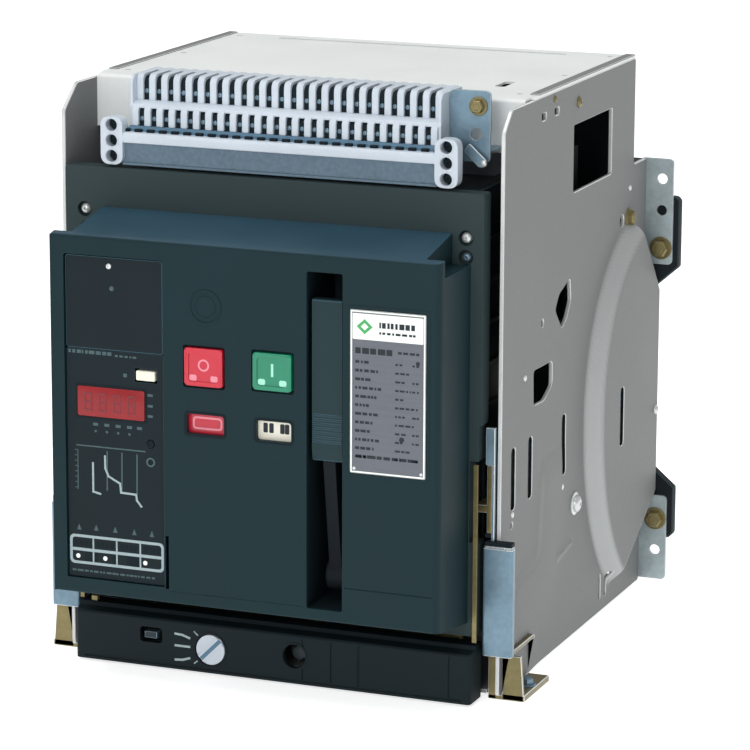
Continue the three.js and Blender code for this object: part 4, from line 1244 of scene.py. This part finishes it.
def charging_handle():
    """Long moulded grip with grooves across it low down, on a black lever that turns at its foot."""
    pivot = next(j for j in frame["joints"] if j["name"] == "handle_swing")["pos_m"]
    pivot_y, pivot_z = (pivot[1] - PLATE_FRONT) / MM, pivot[2] / MM
    grip_z = (184, HANDLE_Z[1])
    grip_x = (HANDLE_X[0] + 0.6, HANDLE_X[1] - 0.2)
    grip = Shape()
    side = [(HANDLE_Y[0] + 1.6, grip_z[0]), (HANDLE_Y[0] + 14, grip_z[0]), (HANDLE_Y[0] + 14, grip_z[1] - 4),
            (HANDLE_Y[0] + 10, grip_z[1]), (HANDLE_Y[0], grip_z[1]), (HANDLE_Y[0], grip_z[0] + 8)]
    grip.prism("x", rounded(side, 2, 3), grip_x)
    tools = Shape()
    for level in range(7):
        z = grip_z[0] + 14 + level * 3.2
        tools.block(grown(grip_x, 1), (HANDLE_Y[0] - 1, HANDLE_Y[0] + 0.5), (z, z + 1.2))
    # Edge look: painted highlight on the rounded edges.
    grip.carved(tools).piece("charging_handle_grip", "grip", "charging_handle", "cover_moulding",
                             ["charging_handle"], bevel=1.0, edge="cover_edge_highlight")
    lever = Shape()
    x = middle(grip_x)
    arm = [(pivot_y - 9, pivot_z - 2), (pivot_y + 9, pivot_z - 2), (pivot_y + 8, pivot_z + 14),
           (HANDLE_Y[0] + 13, 190), (HANDLE_Y[0] + 13, 214), (HANDLE_Y[0] + 4, 214), (HANDLE_Y[0] + 4, 186)]
    lever.prism("x", rounded(arm, 3, 3), around(x, 4.8))
    lever.lathe((x - 9, pivot_y, pivot_z), (1, 0, 0),
                [(0, 0), (5, 0), (5, 1.5), (11.2, 1.5), (12, 2.4), (12, 15.6), (11.2, 16.5), (5, 16.5),
                 (5, 18), (0, 18)], 32)
    lever.piece("charging_lever_arm", "black", "charging_handle", "black_moulding", bevel=0.6)


charging_handle()


# ------------------------------------------------------------------ breaker: nameplate
LABEL_X, LABEL_Y, LABEL_Z = extent("nameplate")


def nameplate():
    """Printed metal plate: a white header with a plain green lozenge, and rows of blank dashes."""
    plate = Shape()
    plate.prism("y", pane(LABEL_X, LABEL_Z, 1.2), LABEL_Y)
    # Edge look: painted highlight on the rounded edges.
    plate.piece("nameplate_plate", "label", "breaker", "nameplate_metal", ["nameplate"], bevel=0.15,
                edge="bright_zinc_and_edge_highlight")
    y = printed(LABEL_Y[0])
    header = (LABEL_Z[1] - 21, LABEL_Z[1] - 2.5)
    white = Shape()
    white.prism("y", pane(grown(LABEL_X, -2), header, 0.8), y)
    white.prism("y", rectangle(grown(LABEL_X, -0.5), grown(LABEL_Z, -0.5)), y,
                [rectangle(grown(LABEL_X, -1.6), grown(LABEL_Z, -1.6))])
    white.piece("nameplate_header", "print_white", "breaker")
    green = Shape()
    x, z = LABEL_X[0] + 11, middle(header)
    lozenge = [(x - 6, z), (x, z + 5.4), (x + 6, z), (x, z - 5.4)]
    inner = [(x - 3, z), (x, z + 2.7), (x + 3, z), (x, z - 2.7)]
    green.prism("y", lozenge, printed(y[0]), [inner])
    green.piece("nameplate_mark", "print_green", "breaker")
    text = Shape()
    over = printed(y[0])
    dashes(text, (LABEL_X[0] + 22, LABEL_X[0] + 49), z + 1.8, 4.0, over, 31, 5)
    dashes(text, (LABEL_X[0] + 22, LABEL_X[0] + 49), z - 3.8, 1.6, over, 32, 4)
    dashes(text, (LABEL_X[0] + 4, LABEL_X[0] + 32), header[0] - 8, 4.2, y, 33, 6)
    dashes(text, (LABEL_X[0] + 36, LABEL_X[1] - 5), header[0] - 7.5, 1.6, y, 34, 4)
    for row in range(12):
        level = header[0] - 16 - row * 6.2
        dashes(text, (LABEL_X[0] + 4, LABEL_X[0] + 8 + (row * 7) % 11 + 6), level, 1.9, y, 40 + row, 5)
        dashes(text, (LABEL_X[0] + 34, LABEL_X[0] + 40 + (row * 5) % 9), level, 1.3, y, 60 + row, 4)
        if row % 3 != 1:
            dashes(text, (LABEL_X[1] - 10, LABEL_X[1] - 5), level, 1.3, y, 80 + row, 3)
    dashes(text, (LABEL_X[0] + 5, LABEL_X[1] - 5), LABEL_Z[0] + 12.5, 2.2, y, 99, 8)
    text.prism("y", circle(LABEL_X[1] - 6, header[0] - 14, 1.5, 14), y)
    text.prism("y", circle(LABEL_X[0] + 39, LABEL_Z[0] + 27, 1.9, 14), y)
    text.piece("nameplate_print", "print_dark", "breaker")
    rivets = Shape()
    for corner_x in grown(LABEL_X, -3.2):
        rivets.lathe((corner_x, LABEL_Y[0], LABEL_Z[0] + 3.4), FORWARD,
                     [(0, 0), (1.2, 0), (0.8, 0.4), (0, 0.5)], 14)
    rivets.piece("nameplate_rivets", "bright_zinc_and_edge_highlight", "breaker", "zinc_blue")


nameplate()


# ------------------------------------------------------------------ secondary terminals
BLOCK_X, BLOCK_Y, BLOCK_Z = extent("fixed_terminal_block")
STRIP_X, STRIP_Y, STRIP_Z = extent("plug_strip")
FINGERS = 25
PITCH = (BLOCK_X[1] - BLOCK_X[0]) / FINGERS
BAR_TOP = 399
CAP_WIDTH = 17.5


def lobe(y, z, radius=4.0):
    """One tier of a terminal rib from the side, round at its upper front edge."""
    outline = [(y[1], z[0]), (y[1], z[1]), (y[0] + radius, z[1])]
    outline += [(y[0] + radius - radius * math.sin(a), z[1] - radius + radius * math.cos(a))
                for a in map(math.radians, (25, 50, 75, 90))]
    return [*outline, (y[0], z[0])]


def fixed_terminal_block():
    """Two tiers of rounded ribs with screws sunk between them, on a blue foot. The dark core between the ribs
    is painted shade in the gaps.
    """
    foot_top = BLOCK_Z[0] + 16.5
    tiers = (((BLOCK_Y[0], BLOCK_Y[1] - 8), (foot_top, 418)),
             ((BLOCK_Y[0] + 9, BLOCK_Y[1]), (417, BLOCK_Z[1])))
    ribs = Shape()
    centres = [BLOCK_X[0] + (i + 0.5) * PITCH for i in range(FINGERS)]
    for centre in centres:
        for y, z in tiers:
            ribs.prism("x", lobe(y, z, 5), around(centre, PITCH * 0.27))
    ribs.piece("terminal_ribs", "grey", "cradle", "grey_moulding", ["fixed_terminal_block"], bevel=0.9,
               segments=3)
    ledges = Shape()
    ledges.prism("x", rounded([(BLOCK_Y[0] + 1.5, 415.5), (BLOCK_Y[1] - 6, 415.5), (BLOCK_Y[1] - 6, 421),
                               (BLOCK_Y[0] + 7, 420.5), (BLOCK_Y[0] + 1.5, 418)], 1, 2), BLOCK_X)
    ledges.block(BLOCK_X, (BLOCK_Y[1] - 9, BLOCK_Y[1]), (436.5, BLOCK_Z[1] - 0.6))
    ledges.piece("terminal_ledges", "grey", "cradle", "grey_moulding", bevel=0.5)
    # Dark core behind the ribs: painted shade between them.
    core = Shape()
    core.prism("x", lobe((BLOCK_Y[0] + 2.6, BLOCK_Y[1] - 8), (foot_top - 1, 416), 4), grown(BLOCK_X, -0.4))
    core.prism("x", lobe((BLOCK_Y[0] + 11.4, BLOCK_Y[1] - 0.4), (414, 437.6), 5), grown(BLOCK_X, -0.4))
    core.piece("terminal_core", "recess", "cradle", "black_moulding", bevel=0.3)
    screws = Shape()
    for centre in [BLOCK_X[0] + i * PITCH for i in range(1, FINGERS)]:
        for y, z in ((BLOCK_Y[0] + 3, 408), (BLOCK_Y[0] + 11.8, 427)):
            screws.screw((centre, y, z), FORWARD, 1.8, 1.6)
    screws.piece("terminal_screws", "blue_zinc", "cradle", "zinc_blue")
    foot_bar = Shape()
    foot_bar.prism("x", rounded([(4.5, BLOCK_Z[0]), (BLOCK_Y[1], BLOCK_Z[0]), (BLOCK_Y[1], foot_top),
                                 (BLOCK_Y[0] - 0.6, foot_top), (BLOCK_Y[0] - 1.6, BLOCK_Z[0] + 9),
                                 (4.5, BLOCK_Z[0] + 7)], 1, 2), BLOCK_X)
    foot_bar.piece("terminal_foot", "blue", "cradle", "grey_moulding", bevel=0.4)
    ends = Shape()
    for sign in (-1, 1):
        x = sorted((sign * (BLOCK_X[1] - 0.2), sign * (BLOCK_X[1] - 2.4)))
        ends.prism("x", lobe((BLOCK_Y[0] + 2, BLOCK_Y[1]), (foot_top, BLOCK_Z[1] - 0.5), 7), x)
    ends.piece("terminal_end_plates", "grey", "cradle", "grey_moulding", bevel=0.5)


def terminal_bracket():
    x, y, z = extent("terminal_bracket")
    plate = Shape()
    plate.prism("y", pane(x, (z[0] + 4, z[1]), 4), (y[0], y[0] + 2.2),
                [circle(141.3, 410, 4.6, 24)])
    plate.block(x, (y[0] + 1, y[1]), (396.4, 398.4))
    # Edge look: painted highlight on the rounded edges.
    plate.piece("terminal_bracket_steel", "blue_zinc", "cradle", "zinc_blue", ["terminal_bracket"],
                bevel=0.5, edge="bright_zinc_and_edge_highlight")
    bolt = Shape()
    bolt.bolt((143, y[0], 430), FORWARD, 9, 4.5)
    bolt.piece("terminal_bracket_bolt", "yellow_zinc", "cradle", "zinc_yellow", bevel=0.2)
    arm = Shape()
    arm.prism("y", rounded([(134, 398), (138, 404), (151.5, 392), (150, 387.5), (145, 387)], 1.5),
              (y[0] - 5, y[0] - 3))
    # Edge look: painted highlight on the rounded edges.
    arm.piece("terminal_bracket_arm", "blue_zinc", "cradle", "zinc_blue", bevel=0.5, edge="bright_zinc_and_edge_highlight")
    Shape().screw((149.2, y[0] - 5, 390.2), FORWARD, 2.4, 1.8).piece(
        "terminal_bracket_tip", "bright_zinc_and_edge_highlight", "cradle", "zinc_blue")


def plug_strip():
    """Socket bar carried by the breaker: white ledge, dark sunk face and capsule end caps. The sunk face is a
    darker copy of the grey moulding, painted shade under the ledge.
    """
    inner = (STRIP_X[0] + CAP_WIDTH - 1, STRIP_X[1] - CAP_WIDTH + 1)
    ledge = Shape()
    outline = [(STRIP_Y[0] + 0.6, BAR_TOP - 7.5), (STRIP_Y[1], BAR_TOP - 7.5), (STRIP_Y[1], BAR_TOP),
               (STRIP_Y[0] + 2, BAR_TOP), (STRIP_Y[0] + 0.6, BAR_TOP - 2)]
    ledge.prism("x", rounded(outline, 0.8, 2), inner)
    ledge.piece("plug_ledge", "grey", "breaker", "grey_moulding", ["plug_strip"], bevel=0.3)
    # Sunk face in the darker grey: painted shade under the ledge.
    sunk = Shape()
    sunk.block(inner, (STRIP_Y[0] + 4.2, STRIP_Y[1]), (STRIP_Z[0] + 1, BAR_TOP - 7))
    sunk.block(inner, (STRIP_Y[0] + 2.4, STRIP_Y[1]), (STRIP_Z[0], STRIP_Z[0] + 1.8))
    sunk.piece("plug_sunk_face", "shaded_grey", "breaker", "grey_moulding", bevel=0.3)
    # Dark blocks for the socket openings: painted shade in the holes.
    sockets = Shape()
    for i in range(FINGERS + 1):
        centre = BLOCK_X[0] + i * PITCH
        opening = rectangle(around(centre, 2.8), (STRIP_Y[0] + 6, STRIP_Y[1] - 1.4))
        sockets.prism("z", rounded(opening, 0.6), (BAR_TOP - 1, BAR_TOP + 2))
    sockets.piece("plug_sockets", "recess", "breaker", "black_moulding", bevel=0.15)
    Shape().block(inner, (STRIP_Y[1] - 1.2, STRIP_Y[1]), (BAR_TOP - 1, BAR_TOP + 2.6)).piece(
        "plug_back_lip", "blue", "breaker", "grey_moulding", bevel=0.3)
    caps, rims, screws = Shape(), Shape(), Shape()
    for sign in (-1, 1):
        centre = sign * (STRIP_X[1] - CAP_WIDTH / 2)
        levels = [STRIP_Z[0] + 6.2 + i * 11.4 for i in range(3)]
        holes = [circle(centre, z, 4.6, 24) for z in levels]
        outline = pane(around(centre, CAP_WIDTH / 2), STRIP_Z, 7)
        caps.prism("y", outline, (STRIP_Y[0] + 0.5, STRIP_Y[1]), holes)
        for z in levels:
            rims.lathe((centre, STRIP_Y[0] + 1.2, z), FORWARD,
                       [(4.5, 0), (6.0, 0), (5.6, 1.1), (5.0, 1.2), (4.5, 0.7), (4.5, 0)], 28)
            # The dark disc at the bottom of each hole is painted shade; the screws share the dark look.
            screws.screw((centre, STRIP_Y[1] - 4, z), FORWARD, 3.6, 2)
            screws.lathe((centre, STRIP_Y[1] - 1, z), FORWARD, [(0, 0), (4.7, 0), (4.7, 1), (0, 1)], 20)
    caps.piece("plug_end_caps", "grey", "breaker", "grey_moulding", bevel=0.6)
    rims.piece("plug_screw_rims", "grey", "breaker", "grey_moulding")
    screws.piece("plug_screws", "recess", "breaker", "black_moulding", bevel=0.2)


fixed_terminal_block()
terminal_bracket()
plug_strip()


def floor():
    shape = Shape()
    shape.block((-9000, 9000), (-9000, 9000), (-30, -0.05))
    mesh = shape.mesh()
    mesh.transform(DRAWING_TO_FRAME)
    made = bpy.data.objects.new("floor", mesh)
    bpy.context.scene.collection.objects.link(made)
    mesh.materials.append(finish("floor_paper", srgb(250, 250, 250), 0.9, grain=4, tone=0.004,
                                 cloud_tone=0.004, bump=0.0, emission=0.7))


floor()
